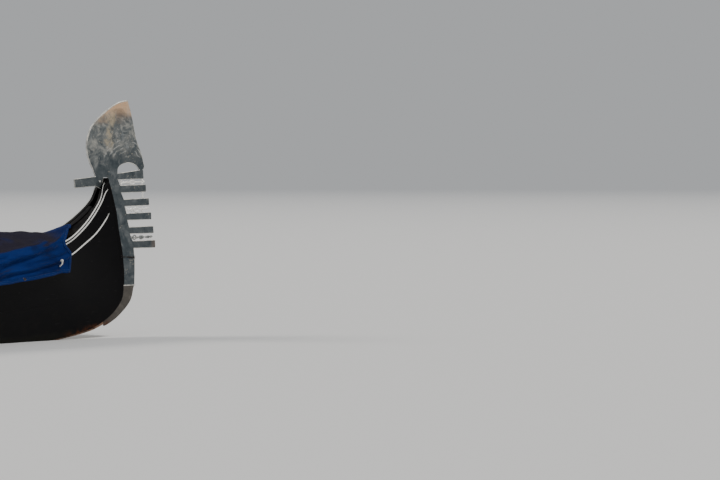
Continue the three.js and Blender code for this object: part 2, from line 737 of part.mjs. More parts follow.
// The grid's columns from hem to ridge: share of the half breadth, drop below the shoulder as a share of
// the skirt, and x of the front edge.
const COVER_COLUMNS = [
  [1, 1, -608],
  [1, 0.5, -600],
  [1, 0.06, -654],
  [0.97, 0, -650],
  [0.8, 0, -607],
  [0.55, 0, -557],
  [0.28, 0, -518],
  [0, 0, -500],
];
{
  const outer = [];
  const inner = [];
  const rearT = tAtX(COVER_REAR_X);
  for (let i = 0; i <= COVER_ROWS; i++) {
    const outRow = [];
    const inRow = [];
    const run = (i / COVER_ROWS) ** 1.25;
    const push = (side, [share, drop, frontX]) => {
      const frontT = tAtX(frontX);
      const t = frontT + run * (rearT - frontT);
      const x = lines.sx(t);
      const railOuter = lines[side > 0 ? "port" : "star"](t) + BAND_PROUD + RAIL_PROUD;
      const half = railOuter + COVER_CLEAR + COVER_THICK;
      const skirt = COVER_SKIRT + (SKIRT_FRONT - COVER_SKIRT) * Math.max(0, 1 - i / 5);
      const shoulderZ = lines.sz(t) + COVER_CLEAR + COVER_THICK;
      const crown = share < 0.9 ? (coverRidge(-x) - shoulderZ) * (1 - share ** 1.5) : 0;
      const z = shoulderZ + crown - drop * skirt;
      const upright = share === 1;
      outRow.push(new THREE.Vector3(x, side * share * half, z));
      const thinY = share >= 0.97 ? COVER_THICK : 0;
      const thinZ = upright ? 0 : COVER_THICK;
      inRow.push(new THREE.Vector3(x, side * (share * half - thinY), z - thinZ));
    };
    for (const column of COVER_COLUMNS) push(-1, column);
    for (const column of COVER_COLUMNS.slice(0, -1).reverse()) push(1, column);
    outer.push(outRow);
    inner.push(inRow);
  }
  add("rain_cover", shell(outer, inner), coverCloth);
}

// Tie that holds the front of the cover down, a short flat knot each side.
const TIE_X = -709;
const TIE_Z = 666;
for (const [side, word] of [[1, "port"], [-1, "starboard"]]) {
  const t = tAtX(TIE_X);
  const half = lines[side > 0 ? "port" : "star"](t) + BAND_PROUD + RAIL_PROUD + COVER_CLEAR + COVER_THICK;
  const knot = new THREE.CylinderGeometry(7, 9, 22, 10);
  knot.rotateX(Math.PI / 2);
  knot.translate(TIE_X, side * (half + 14), TIE_Z);
  add("cover_tie_" + word, knot, tieCord);
}

export default gondola;
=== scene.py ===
import json
import math

import bmesh
import bpy
from mathutils import Matrix, Vector, noise
from mathutils.bvhtree import BVHTree


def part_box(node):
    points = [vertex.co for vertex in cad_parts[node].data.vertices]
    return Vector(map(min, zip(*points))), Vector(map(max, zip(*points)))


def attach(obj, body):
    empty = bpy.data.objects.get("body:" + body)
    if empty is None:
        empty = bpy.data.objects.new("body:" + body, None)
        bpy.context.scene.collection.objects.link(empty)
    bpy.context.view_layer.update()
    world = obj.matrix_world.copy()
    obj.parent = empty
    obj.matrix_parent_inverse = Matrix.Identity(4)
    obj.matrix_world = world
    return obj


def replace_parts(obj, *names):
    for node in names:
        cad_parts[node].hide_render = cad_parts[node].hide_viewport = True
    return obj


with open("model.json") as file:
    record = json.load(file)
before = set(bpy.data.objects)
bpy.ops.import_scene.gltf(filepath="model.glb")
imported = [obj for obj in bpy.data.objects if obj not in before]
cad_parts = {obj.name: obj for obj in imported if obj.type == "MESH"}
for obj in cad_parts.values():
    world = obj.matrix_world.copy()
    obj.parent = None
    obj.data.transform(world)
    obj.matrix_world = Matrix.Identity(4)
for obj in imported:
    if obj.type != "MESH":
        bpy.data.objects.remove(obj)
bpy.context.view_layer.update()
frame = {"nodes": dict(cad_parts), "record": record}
NODES = frame["nodes"]

MM = 0.001

# The stem's front in the centre plane, and the height of the tables' base line under the flat bottom.
BLADE_LOW, BLADE_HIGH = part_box("ferro_blade")
STEM = Vector((5.282, (BLADE_LOW.y + BLADE_HIGH.y) / 2, 0))
BASE_DEPTH = 60
WATERLINE = 0.115

# Camera: a long lens at eye height, from abaft the beam on the starboard side of the bow.
CAMERA_AZIMUTH = -36.0
CAMERA_DISTANCE = 17.0
CAMERA_HEIGHT = 1.056
FOCAL_PIXELS = 2650.0
FRAME_WIDTH = 720
FRAME_HEIGHT = 480
STEM_PIXEL_X = 134.56
HORIZON_PIXEL_Y = 171.0
SENSOR = 36.0
VIEW_END = 2000

# Finishes, linear colours.
BLACK = (0.0022, 0.0022, 0.0028, 1)
RAIL_BLACK = (0.0028, 0.0028, 0.0036, 1)
BROWN_BLACK = (0.0050, 0.0045, 0.0050, 1)
SCUFF = (0.30, 0.30, 0.30, 1)
DRIED_SPRAY = (0.12, 0.085, 0.05, 1)
WET_FOOT = (0.010, 0.010, 0.008, 1)
PLANK_RUST = (0.120, 0.036, 0.010, 1)
DUST = (0.11, 0.10, 0.085, 1)
WHITE_PAINT = (0.94, 0.94, 0.91, 1)
OLD_PAINT = (0.58, 0.56, 0.50, 1)
CHIPPED_PAINT = (0.12, 0.12, 0.12, 1)
ROYAL_BLUE = (0.0008, 0.0092, 0.0740, 1)
HEM_BLUE = (0.0022, 0.0130, 0.0850, 1)
PALE_BLUE = (0.0045, 0.0250, 0.1450, 1)
NIGHT_BLUE = (0.0009, 0.0040, 0.0280, 1)
# Mauve sky reflection painted on the cover's upward faces.
MAUVE_PAINTED_SHEEN = (0.018, 0.0145, 0.0190, 1)
MAUVE_SHEEN = (0.74, 0.66, 0.76, 1)
SPINE_TINTS = ((0.062, 0.078, 0.088, 1), (0.112, 0.130, 0.140, 1), (0.230, 0.245, 0.250, 1))
# The head's tints are lighter than the spine's: painted light on the head.
HEAD_PAINTED_LIGHT_TINTS = ((0.085, 0.108, 0.120, 1), (0.215, 0.230, 0.230, 1), (0.56, 0.545, 0.49, 1))
DULL_STEEL = (0.052, 0.070, 0.084, 1)
# Painted shade under the head, round the arch.
ARCH_SHADE = (0.060, 0.078, 0.090, 1)
BEIGE = (0.62, 0.52, 0.36, 1)
# A warm painted light on the very top of the head.
TIP_PAINTED_WARM_LIGHT = (0.92, 0.60, 0.36, 1)
WIPED_STEEL = (0.74, 0.74, 0.70, 1)
STREAK = (0.58, 0.60, 0.60, 1)
CREAM = (0.50, 0.46, 0.38, 1)
TOOTH_RUST = (0.26, 0.17, 0.12, 1)
IRON_TINTS = ((0.085, 0.078, 0.070, 1), (0.120, 0.108, 0.094, 1), (0.230, 0.212, 0.185, 1))
RUST = (0.100, 0.030, 0.009, 1)
STRIP_TAN = (0.30, 0.180, 0.120, 1)
WALNUT = (0.150, 0.060, 0.022, 1)
DARK_WALNUT = (0.045, 0.017, 0.007, 1)
CORD_WHITE = (0.86, 0.86, 0.83, 1)
CORD_GREY = (0.60, 0.59, 0.54, 1)
# Lighter colour on the edges of the bow iron, its rim and strap: a painted highlight where they catch the
# light.
EDGE_HIGHLIGHT_TINTS = ((0.40, 0.40, 0.38, 1), (0.86, 0.83, 0.76, 1))
# Polished white metal of the comb's ornaments, and the same gone grey on the lowest.
BRIGHT_TINTS = ((0.78, 0.76, 0.70, 1), (0.96, 0.95, 0.92, 1))
WEATHERED_TINTS = ((0.150, 0.160, 0.165, 1), (0.46, 0.46, 0.43, 1))
BRASS_TINTS = ((0.045, 0.034, 0.020, 1), (0.200, 0.145, 0.065, 1))
WIRE_TINTS = ((0.010, 0.010, 0.012, 1), (0.05, 0.04, 0.035, 1))
THREAD_TINTS = ((0.012, 0.030, 0.110, 1), (0.040, 0.075, 0.190, 1))


def add_object(name, data):
    made = bpy.data.objects.new(name, data)
    bpy.context.scene.collection.objects.link(made)
    return made


def make_camera():
    data = bpy.data.cameras.new("camera")
    data.sensor_width = SENSOR
    data.lens = FOCAL_PIXELS / FRAME_WIDTH * SENSOR
    data.clip_end = VIEW_END
    camera = add_object("camera", data)
    bpy.context.scene.camera = camera
    azimuth = math.radians(CAMERA_AZIMUTH)
    back = Vector((math.sin(azimuth), -math.cos(azimuth), 0))
    camera.location = STEM + back * CAMERA_DISTANCE + Vector((0, 0, WATERLINE + CAMERA_HEIGHT))
    turn = math.atan((FRAME_WIDTH / 2 - STEM_PIXEL_X) / FOCAL_PIXELS)
    tilt = math.atan((FRAME_HEIGHT / 2 - HORIZON_PIXEL_Y) / FOCAL_PIXELS)
    camera.rotation_euler = (math.pi / 2 - tilt, 0, azimuth - turn)


# Hull lines as in the CAD, in millimetres: sheer x, sheer z, half breadth at the sheer to starboard and
# to port, chine x, chine z, half breadth at the chine to starboard and to port, depth of the sheer band.
# x is counted from the stem's front and z from the base line.
HULL_COLUMNS = ["sx", "sz", "star", "port", "cx", "cz", "cStar", "cPort", "band"]
HULL_STATIONS = [
    [-222, 1184, 20, 20, -102, 506, 20, 20, 186],
    [-268, 1151, 29, 29, -103, 467, 20, 20, 201],
    [-292, 1079, 37, 38, -111, 424, 20, 20, 164],
    [-345, 1003, 53, 55, -133, 387, 20, 20, 141],
    [-416, 934, 75, 79, -172, 342, 20, 20, 127],
    [-499, 871, 100, 107, -240, 291, 20, 20, 113],
    [-620, 806, 136, 148, -345, 241, 20, 20, 113],
    [-826, 765, 194, 216, -490, 206, 20, 20, 114],
    [-1026, 744, 244, 280, -690, 172, 26, 27, 116],
    [-1325, 721, 312, 366, -1035, 134, 58, 60, 117],
    [-1725, 694, 382, 464, -1500, 101, 118, 130, 118],
    [-2725, 638, 496, 646, -2640, 68, 232, 290, 118],
    [-3900, 590, 566, 772, -3900, 60, 326, 432, 118],
    [-5150, 566, 588, 825, -5150, 60, 362, 500, 118],
    [-6500, 576, 580, 806, -6500, 60, 348, 482, 118],
    [-7400, 610, 545, 730, -7440, 72, 290, 380, 118],
    [-8280, 676, 466, 602, -8400, 124, 205, 250, 118],
    [-9000, 777, 364, 448, -9230, 222, 122, 138, 118],
    [-9640, 917, 246, 285, -9900, 395, 50, 54, 120],
    [-10120, 1075, 144, 158, -10300, 610, 22, 22, 120],
    [-10430, 1222, 72, 76, -10530, 880, 20, 20, 120],
    [-10640, 1352, 21, 21, -10640, 1165, 20, 20, 120],
]
RAIL_DEPTH = 17
RAIL_PROUD = 14
BAND_PROUD = 4
# The sheer band's depth where the rail has its full depth.
FULL_BAND = 120
# The rail's share of its width at the boat's ends, and the half breadth over which it grows by one.
RAIL_END_SHARE = 0.35
RAIL_GROWTH = 200
# The bulge of the sides, and the half breadths between which it grows from nothing to full.
SIDE_BULGE = 16
FLAT_HALF = 20
ROUND_HALF = 320
SIDES = [(-1, "starboard"), (1, "port")]


def natural_spline(ts, vs):
    """Natural cubic spline through the points (ts, vs)."""
    last = len(ts) - 1
    bend = [0.0] * (last + 1)
    ratio = [0.0] * (last + 1)
    load = [0.0] * (last + 1)
    for i in range(1, last):
        before = ts[i] - ts[i - 1]
        after = ts[i + 1] - ts[i]
        slopes = (vs[i + 1] - vs[i]) / after - (vs[i] - vs[i - 1]) / before
        pivot = 2 * (before + after) - before * ratio[i - 1]
        ratio[i] = after / pivot
        load[i] = (6 * slopes - before * load[i - 1]) / pivot
    for i in range(last - 1, 0, -1):
        bend[i] = load[i] - ratio[i] * bend[i + 1]

    def value(t):
        i = 0
        while i < last - 1 and t > ts[i + 1]:
            i += 1
        h = ts[i + 1] - ts[i]
        a = (ts[i + 1] - t) / h
        b = 1 - a
        curve = ((a**3 - a) * bend[i] + (b**3 - b) * bend[i + 1]) * h * h / 6
        return a * vs[i] + b * vs[i + 1] + curve

    return value


def distances(points):
    """Distance along a line at each of its points."""
    ts = [0.0]
    for a, b in zip(points, points[1:]):
        ts.append(ts[-1] + math.dist(a, b))
    return ts


def through(points, count):
    """count + 1 evenly spaced points of a smooth line through the given ones."""
    ts = distances(points)
    lines = [natural_spline(ts, values) for values in zip(*points)]
    return [[line(ts[-1] * k / count) for line in lines] for k in range(count + 1)]


STATION_T = distances([row[:2] for row in HULL_STATIONS])
T_END = STATION_T[-1]
LINES = {
    name: natural_spline(STATION_T, [row[column] for row in HULL_STATIONS])
    for column, name in enumerate(HULL_COLUMNS)
}


def t_at_x(x):
    """The t at which the sheer has a given x."""
    low, high = 0.0, T_END
    for _ in range(40):
        middle = (low + high) / 2
        if LINES["sx"](middle) > x:
            low = middle
        else:
            high = middle
    return low


def half_breadth(side, t):
    return LINES["port" if side > 0 else "star"](t)


def row_frame(x, y, z):
    """A point of the tables, in millimetres, in the row frame in metres."""
    return Vector((STEM.x + x * MM, STEM.y + y * MM, (z - BASE_DEPTH) * MM))


def in_plane(x, z, y=0.0):
    """A point near the centre plane, from the tables' x and z."""
    return row_frame(x, y, z)


def placed(points):
    """Points of the tables in the row frame."""
    return [row_frame(*point) for point in points]


def hull_point(side, t, down, proud=0.0):
    """A point of the planking, down from the sheer along the ruling and proud of it, in the row frame."""
    sheer_x, sheer_z, half = LINES["sx"](t), LINES["sz"](t), half_breadth(side, t)
    chine_x = LINES["cx"](t)
    chine_half = LINES["cPort" if side > 0 else "cStar"](t)
    chine_z = max(LINES["cz"](t), BASE_DEPTH)
    share = down / math.dist((sheer_x, half, sheer_z), (chine_x, chine_half, chine_z))
    roundness = min(1, max(0, half - FLAT_HALF) / (ROUND_HALF - FLAT_HALF))
    bulge = SIDE_BULGE * 4 * share * (1 - share) * roundness
    y = lerp(half, chine_half, share) + bulge + proud
    return row_frame(lerp(sheer_x, chine_x, share), side * y, lerp(sheer_z, chine_z, share))


def rail_depth(t):
    return RAIL_DEPTH * LINES["band"](t) / FULL_BAND


def rail_proud(side, t):
    return BAND_PROUD + RAIL_PROUD * min(1, RAIL_END_SHARE + half_breadth(side, t) / RAIL_GROWTH)


def smoothstep(low, high, value):
    share = min(1, max(0, (value - low) / (high - low)))
    return share * share * (3 - 2 * share)


def lerp(a, b, share):
    return a + (b - a) * share


# Materials.


class Finish:
    """A Principled material, with short calls for its nodes. Its place is in the row frame, in metres."""

    def __init__(self, name, **sockets):
        self.material = bpy.data.materials.new(name)
        self.material.use_nodes = True
        self.tree = self.material.node_tree
        self.shader = self.tree.nodes["Principled BSDF"]
        coordinates = self.tree.nodes.new("ShaderNodeTexCoord")
        self.place = coordinates.outputs["Object"]
        self.uv = coordinates.outputs["UV"]
        self.x, self.y, self.z = self.node("ShaderNodeSeparateXYZ", {0: self.place}).outputs
        self.set(**sockets)

    def feed(self, socket, value):
        if isinstance(value, bpy.types.NodeSocket):
            self.tree.links.new(value, socket)
        else:
            socket.default_value = value

    def node(self, kind, inputs, **settings):
        made = self.tree.nodes.new(kind)
        for key, value in settings.items():
            setattr(made, key, value)
        for key, value in inputs.items():
            self.feed(made.inputs[key], value)
        return made

    def set(self, **sockets):
        """Feeds sockets of the shader and returns the material; an underscore stands for a space."""
        for key, value in sockets.items():
            self.feed(self.shader.inputs[key.replace("_", " ")], value)
        return self.material

    def stretched(self, scale, vector):
        return self.node("ShaderNodeMapping", {"Vector": vector, "Scale": scale}).outputs[0]

    def noise(self, scale, detail=3.0, roughness=0.55, distortion=0.0, stretch=None):
        inputs = {
            "Vector": self.stretched(stretch, self.place) if stretch else self.place,
            "Scale": scale,
            "Detail": detail,
            "Roughness": roughness,
            "Distortion": distortion,
        }
        return self.node("ShaderNodeTexNoise", inputs).outputs[0]

    def wave(self, vector, scale, direction):
        inputs = {"Vector": vector, "Scale": scale}
        return self.node("ShaderNodeTexWave", inputs, bands_direction=direction).outputs[0]

    def length(self, vector):
        return self.node("ShaderNodeVectorMath", {0: vector}, operation="LENGTH").outputs["Value"]

    def maths(self, operation, a, b=0.0, clamp=False):
        return self.node("ShaderNodeMath", {0: a, 1: b}, operation=operation, use_clamp=clamp).outputs[0]

    def plus(self, a, b, clamp=False):
        return self.maths("ADD", a, b, clamp)

    def minus(self, a, b):
        return self.maths("SUBTRACT", a, b)

    def times(self, a, *others):
        for b in others:
            a = self.maths("MULTIPLY", a, b)
        return a

    def mix(self, factor, a, b):
        return self.node("ShaderNodeMix", {0: factor, 6: a, 7: b}, data_type="RGBA").outputs[2]

    def stained(self, tint, *stains):
        """Lays colours over a tint one after another; stains are (colour, share, where)."""
        for colour, share, where in stains:
            tint = self.mix(self.times(where, share), tint, colour)
        return tint

    def ramp(self, factor, *stops):
        """stops are (position, colour or grey)."""
        made = self.node("ShaderNodeValToRGB", {0: factor})
        elements = made.color_ramp.elements
        while len(elements) < len(stops):
            elements.new(0.5)
        for element, (position, value) in zip(elements, stops):
            element.position = position
            element.color = value if isinstance(value, tuple) else (value, value, value, 1)
        return made.outputs[0]

    def band(self, value, low, high):
        """0 below low and 1 above high, or the other way round if low is above high."""
        inputs = {"Value": value, "From Min": low, "From Max": high}
        return self.node("ShaderNodeMapRange", inputs, interpolation_type="SMOOTHSTEP").outputs[0]

    def bump(self, height, distance, strength=1.0, normal=None):
        inputs = {"Height": height, "Distance": distance, "Strength": strength}
        if normal is not None:
            inputs["Normal"] = normal
        return self.node("ShaderNodeBump", inputs).outputs[0]

    def upward(self):
        """1 on faces that look up."""
        normal = self.node("ShaderNodeNewGeometry", {}).outputs["Normal"]
        return self.node("ShaderNodeSeparateXYZ", {0: normal}).outputs[2]


# The keel strip, as seen from the side: x and z of its front end, and its rise to it.
STRIP_END = (5.039, 0.180)
STRIP_SLOPE = 0.175


def lacquer(name, colour, gloss):
    """Gloss black boat lacquer: brush marks, dust, dried spray, a dull foot, rust by the keel strip."""
    f = Finish(name, IOR=1.45, Specular_IOR_Level=0.11)
    broad = f.noise(2.2, 4, stretch=(1.0, 6.0, 6.0))
    brush = f.noise(60, 3, 0.6, stretch=(0.05, 1.0, 1.0))
    scuffs = f.band(f.noise(130, 3, 0.6, 0.5, stretch=(0.10, 1.0, 1.0)), 0.66, 0.72)
    dust_and_sheen = f.times(f.band(f.upward(), 0.55, 0.95), f.band(f.noise(9, 6, 0.7), 0.38, 0.72))
    spray = f.times(f.band(f.z, 0.42, 0.12), f.band(f.noise(14, 8, 0.75), 0.46, 0.70))
    foot = f.band(f.plus(f.z, f.times(f.noise(5, 4), -0.08)), 0.125, 0.085)
    over_strip = f.minus(f.z, f.times(f.x, STRIP_SLOPE))
    over_strip = f.minus(over_strip, STRIP_END[1] - STRIP_SLOPE * STRIP_END[0])
    near_strip = f.times(f.band(over_strip, 0.055, 0.010), f.band(f.x, 4.66, 4.90))
    near_strip = f.times(near_strip, f.band(f.noise(24, 7, 0.7), 0.42, 0.60))
    tint = f.stained(
        colour,
        (BROWN_BLACK, 0.6, broad),
        (DUST, 0.22, dust_and_sheen),
        (SCUFF, 0.05, scuffs),
        (DRIED_SPRAY, 0.05, spray),
        (WET_FOOT, 1, foot),
        (PLANK_RUST, 0.75, near_strip),
    )
    rough = gloss
    for where, share in [(broad, 0.16), (dust_and_sheen, 0.35), (foot, 0.35), (near_strip, 0.30)]:
        rough = f.plus(rough, f.times(where, share), clamp=True)
    return f.set(Base_Color=tint, Roughness=rough, Normal=f.bump(brush, 0.0006, 0.35))


# Middle of the arch under the head, and how far behind the stem's front the beige streak runs down.
ARCH = (-0.052, 1.160)
BEIGE_X = -0.200


def bow_steel():
    """Bow iron: beige at the top of the head, with painted light that makes the head lighter than the spine
    and warm at its very top; wiped in arcs round the arch, with painted shade under it; dull grey below.
    """
    f = Finish("bow_steel", Metallic=0.75, Specular_IOR_Level=0.5)
    arch = (STEM.x + ARCH[0], STEM.y, ARCH[1])
    from_arch = f.node("ShaderNodeVectorMath", {0: f.place, 1: arch}, operation="SUBTRACT").outputs[0]
    radius = f.length(f.stretched((1, 0, 1), from_arch))
    arcs = f.maths("SINE", f.plus(f.times(radius, 225), f.times(f.noise(8, 5, 0.6), 20)))
    arcs = f.times(f.band(arcs, 0.35, 1.0), f.band(f.noise(15, 5, 0.6), 0.46, 0.60))
    arcs = f.times(arcs, f.band(f.z, 1.22, 1.30), f.band(radius, 0.29, 0.22))
    # Painted shade under the head, round the arch.
    under = f.times(f.band(radius, 0.20, 0.12), f.band(f.z, 1.15, 1.22))
    streaks = f.noise(11, 5, 0.6, 1.4, stretch=(1.0, 1.0, 0.32))
    streaks = f.times(f.band(streaks, 0.57, 0.66), f.band(f.z, 1.05, 1.22))
    mottle = f.noise(16, 6, 0.65, 0.6)
    patches = f.noise(6.5, 5, 0.6, 1.2)
    speckle = f.times(f.band(f.noise(75, 4, 0.6), 0.58, 0.68), f.band(f.noise(9, 3), 0.45, 0.62))
    # Where the warm painted light lies: the very top of the head.
    painted_warm_light_on_top = f.band(f.plus(f.z, f.times(patches, 0.20)), 1.56, 1.69)
    aside = f.plus(f.minus(f.x, STEM.x + BEIGE_X), f.times(f.minus(f.noise(9, 3), 0.5), 0.16))
    beige = f.band(f.maths("ABSOLUTE", aside), 0.050, 0.014)
    beige = f.times(beige, f.band(f.z, 1.29, 1.36), f.band(f.noise(26, 6, 0.7), 0.36, 0.58))
    tooth_tip = f.times(f.band(f.x, 5.400, 5.425), f.band(f.z, 0.76, 0.72))
    # The head's lighter tints and its warm top are painted light; the arch colour is painted shade.
    tint = f.stained(
        f.ramp(mottle, *zip((0.30, 0.52, 0.74), SPINE_TINTS)),
        (f.ramp(mottle, *zip((0.33, 0.50, 0.68), HEAD_PAINTED_LIGHT_TINTS)), 1, f.band(f.z, 1.16, 1.34)),
        (DULL_STEEL, 0.65, f.band(patches, 0.45, 0.36)),
        (BEIGE, 0.75, beige),
        (TIP_PAINTED_WARM_LIGHT, 0.90, painted_warm_light_on_top),
        (ARCH_SHADE, 0.55, under),
        (WIPED_STEEL, 0.62, arcs),
        (STREAK, 0.20, streaks),
        (CREAM, 0.75, speckle),
        (TOOTH_RUST, 0.35, tooth_tip),
    )
    rough = f.ramp(f.noise(55, 5, 0.65), (0.3, 0.38), (0.7, 0.58))
    height = f.plus(f.times(mottle, 0.6), f.times(arcs, 0.4))
    return f.set(Base_Color=tint, Roughness=rough, Normal=f.bump(height, 0.0012, 0.5))


def worn_iron():
    """Grey-brown iron of the lower band, rusted where it meets the wet planks, and the tan keel strip."""
    f = Finish("worn_iron", Metallic=0.55)
    mottle = f.noise(26, 6, 0.65)
    low = f.band(f.plus(f.z, f.times(f.noise(12, 4), 0.10)), 0.315, 0.235)
    tint = f.stained(
        f.ramp(mottle, *zip((0.30, 0.55, 0.75), IRON_TINTS)),
        (RUST, 0.8, f.times(low, f.band(f.noise(20, 6, 0.7), 0.45, 0.62))),
        (STRIP_TAN, 1, f.times(f.band(f.x, 5.034, 5.024), f.band(mottle, 0.30, 0.55))),
    )
    rough = f.ramp(mottle, (0.3, 0.5), (0.7, 0.72))
    return f.set(Base_Color=tint, Roughness=rough, Normal=f.bump(mottle, 0.0015, 0.5))


def white_paint():
    f = Finish("white_paint")
    chips = f.band(f.noise(45, 6, 0.7, stretch=(0.35, 1, 1)), 0.62, 0.72)
    tint = f.stained(WHITE_PAINT, (OLD_PAINT, 0.35, f.noise(8, 4)), (CHIPPED_PAINT, 0.7, chips))
    return f.set(Base_Color=tint, Roughness=0.38)


def canvas(name, deep):
    """Waterproof canvas: weave, pale streaks, damp patches, and a mauve sky reflection painted on its upward
    faces.
    """
    f = Finish(name, Sheen_Weight=0.02, Sheen_Roughness=0.45, Sheen_Tint=MAUVE_SHEEN, Specular_IOR_Level=0.07)
    weave = f.times(f.wave(f.uv, 160.0, "X"), f.wave(f.uv, 160.0, "Y"))
    patches = f.noise(3.2, 6, 0.62, 0.4)
    streaks = f.noise(4.5, 5, 0.6, stretch=(0.5, 1.6, 3.0))
    # A mauve sky reflection painted on the cloth's upward faces aft of its front edge: a painted sheen.
    dust_and_sheen = f.times(f.band(f.upward(), 0.55, 0.86), f.band(f.noise(5, 6, 0.65), 0.05, 0.46))
    dust_and_sheen = f.times(dust_and_sheen, f.band(f.x, STEM.x - 0.60, STEM.x - 0.74))
    tint = f.stained(
        f.ramp(streaks, (0.34, deep), (0.66, PALE_BLUE)),
        (NIGHT_BLUE, 0.7, f.band(patches, 0.50, 0.32)),
        (MAUVE_PAINTED_SHEEN, 0.92, dust_and_sheen),
    )
    rough = f.ramp(patches, (0.3, 0.46), (0.7, 0.70))
    crumple = f.bump(f.noise(20, 5, 0.6, 0.8), 0.010, 0.35)
    return f.set(Base_Color=tint, Roughness=rough, Normal=f.bump(weave, 0.0006, 0.5, crumple))


def walnut():
    f = Finish("walnut", Specular_IOR_Level=0.45)
    grain = f.noise(42, 6, 0.65, 1.2, stretch=(1.0, 1.0, 0.12))
    light = tuple(1.5 * c for c in WALNUT[:3]) + (1,)
    tint = f.ramp(grain, (0.32, DARK_WALNUT), (0.58, WALNUT), (0.80, light))
    tint = f.stained(tint, (DARK_WALNUT, 0.35, f.noise(5, 4, 0.6, 0.8)))
    rough = f.ramp(grain, (0.3, 0.30), (0.7, 0.46))
    return f.set(Base_Color=tint, Roughness=rough, Normal=f.bump(grain, 0.0008, 0.5))


def cord_fibre():
    f = Finish("tie_cord")
    strands = f.bump(f.wave(f.place, 110.0, "DIAGONAL"), 0.0012, 0.7)
    return f.set(Base_Color=f.mix(f.noise(30, 4), CORD_WHITE, CORD_GREY), Roughness=0.85, Normal=strands)


def speckled(name, metallic, grain, levels, tints, rough, fine=None):
    """A plain finish between two tints at two levels of noise; with fine, rough is a pair of values too."""
    f = Finish(name, Metallic=metallic)
    if fine:
        rough = f.ramp(f.noise(*fine), *zip((0.3, 0.7), rough))
    return f.set(Base_Color=f.ramp(f.noise(*grain), *zip(levels, tints)), Roughness=rough)


SLOT_MATERIALS = {
    "hull_lacquer": lacquer("hull_lacquer", BLACK, 0.24),
    "rail_lacquer": lacquer("rail_lacquer", RAIL_BLACK, 0.20),
    "bow_steel": bow_steel(),
    "worn_iron": worn_iron(),
    "cover_cloth": canvas("cover_cloth", ROYAL_BLUE),
    "walnut": walnut(),
    "tie_cord": cord_fibre(),
}
WORN = SLOT_MATERIALS["worn_iron"]
WALNUT_WOOD = SLOT_MATERIALS["walnut"]
CORD = SLOT_MATERIALS["tie_cord"]
PAINT = white_paint()
HEM_CANVAS = canvas("cover_hem", HEM_BLUE)

EDGE_HIGHLIGHT = speckled("edge_highlight", 0.25, (30, 4), (0.35, 0.65), EDGE_HIGHLIGHT_TINTS, (0.3, 0.45), (60, 3))
BRIGHT_METAL = speckled("bright_metal", 0.10, (60, 4), (0.3, 0.6), BRIGHT_TINTS, 0.30)
WEATHERED_METAL = speckled("weathered_metal", 0.45, (50, 5), (0.35, 0.65), WEATHERED_TINTS, 0.42)
BRASS_METAL = speckled("brass", 1.0, (50, 5), (0.35, 0.65), BRASS_TINTS, (0.24, 0.45), (35, 3))
WIRE = speckled("dark_wire", 0.6, (80, 4), (0.3, 0.7), WIRE_TINTS, 0.55)
THREAD = speckled("stitch_thread", 0.0, (90, 3), (0.3, 0.7), THREAD_TINTS, 0.8)


# Meshes.


def link(name, data, material, body="hull"):
    made = add_object(name, data)
    data.materials.append(material)
    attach(made, body)
    return made


def mesh_of(name, points, faces, smooth=True):
    mesh = bpy.data.meshes.new(name)
    mesh.from_pydata([tuple(p) for p in points], [], faces)
    if smooth:
        mesh.shade_smooth()
    mesh.update()
    return mesh


class Skin:
    """A mesh made of tubes; each tube is given as its rings of points."""

    def __init__(self):
        self.verts = []
        self.faces = []

    def add(self, rings, closed=False):
        """Adds a tube with flat ends, or with its last ring joined to its first if closed."""
        base = len(self.verts)
        count = len(rings)
        around = len(rings[0])
        for ring in rings:
            self.verts.extend(ring)
        for i in range(count if closed else count - 1):
            here, there = base + i * around, base + (i + 1) % count * around
            for k in range(around):
                m = (k + 1) % around
                self.faces.append((here + k, here + m, there + m, there + k))
        if not closed:
            last = base + (count - 1) * around
            self.faces.append(tuple(range(base, base + around)))
            self.faces.append(tuple(reversed(range(last, last + around))))
        return self

    def mesh(self, name, smooth=True):
        """The mesh, with its faces turned outward."""
        mesh = mesh_of(name, self.verts, self.faces, smooth)
        work = bmesh.new()
        work.from_mesh(mesh)
        bmesh.ops.recalc_face_normals(work, faces=work.faces)
        work.to_mesh(mesh)
        work.free()
        return mesh


def turns(count):
    """count angles round a circle."""
    return [2 * math.pi * k / count for k in range(count)]


def circle(centre, across, third, radius, around):
    return [centre + radius * (math.cos(a) * across + math.sin(a) * third) for a in turns(around)]


def tube(points, radius, around):
    """Rings of a tube along points; radius is one value, or one at each point."""
    radii = radius if isinstance(radius, list) else [radius] * len(points)
    rings = []
    last = len(points) - 1
    across = None
    for i, point in enumerate(points):
        ahead = (points[min(i + 1, last)] - points[max(i - 1, 0)]).normalized()
        if across is None:
            across = ahead.cross(Vector((0, 0, 1)) if abs(ahead.z) < 0.9 else Vector((1, 0, 0))).normalized()
        across = (across - ahead * across.dot(ahead)).normalized()
        rings.append(circle(point, across, ahead.cross(across), radii[i], around))
    return rings


def prism_mesh(name, outline, y0, y1):
    """An outline of (x, z) in metres, drawn out from y0 to y1."""
    return Skin().add([[(x, y, z) for x, z in outline] for y in (y0, y1)]).mesh(name, smooth=False)


def modifier(made, kind, name, **settings):
    added = made.modifiers.new(name, kind)
    for key, value in settings.items():
        setattr(added, key, value)
    return added


def applied(made):
    """Replaces the object's mesh by what its modifiers make of it."""
    graph = bpy.context.evaluated_depsgraph_get()
    result = bpy.data.meshes.new_from_object(made.evaluated_get(graph))
    made.modifiers.clear()
    made.data = result
    return made


def prism(name, outline, y0, y1, material, bevel):
    """A prism with rounded edges."""
    made = link(name, prism_mesh(name, outline, y0, y1), material)
    modifier(made, "BEVEL", "edge", width=bevel, segments=3, limit_method="ANGLE", harden_normals=True)
    return applied(made)


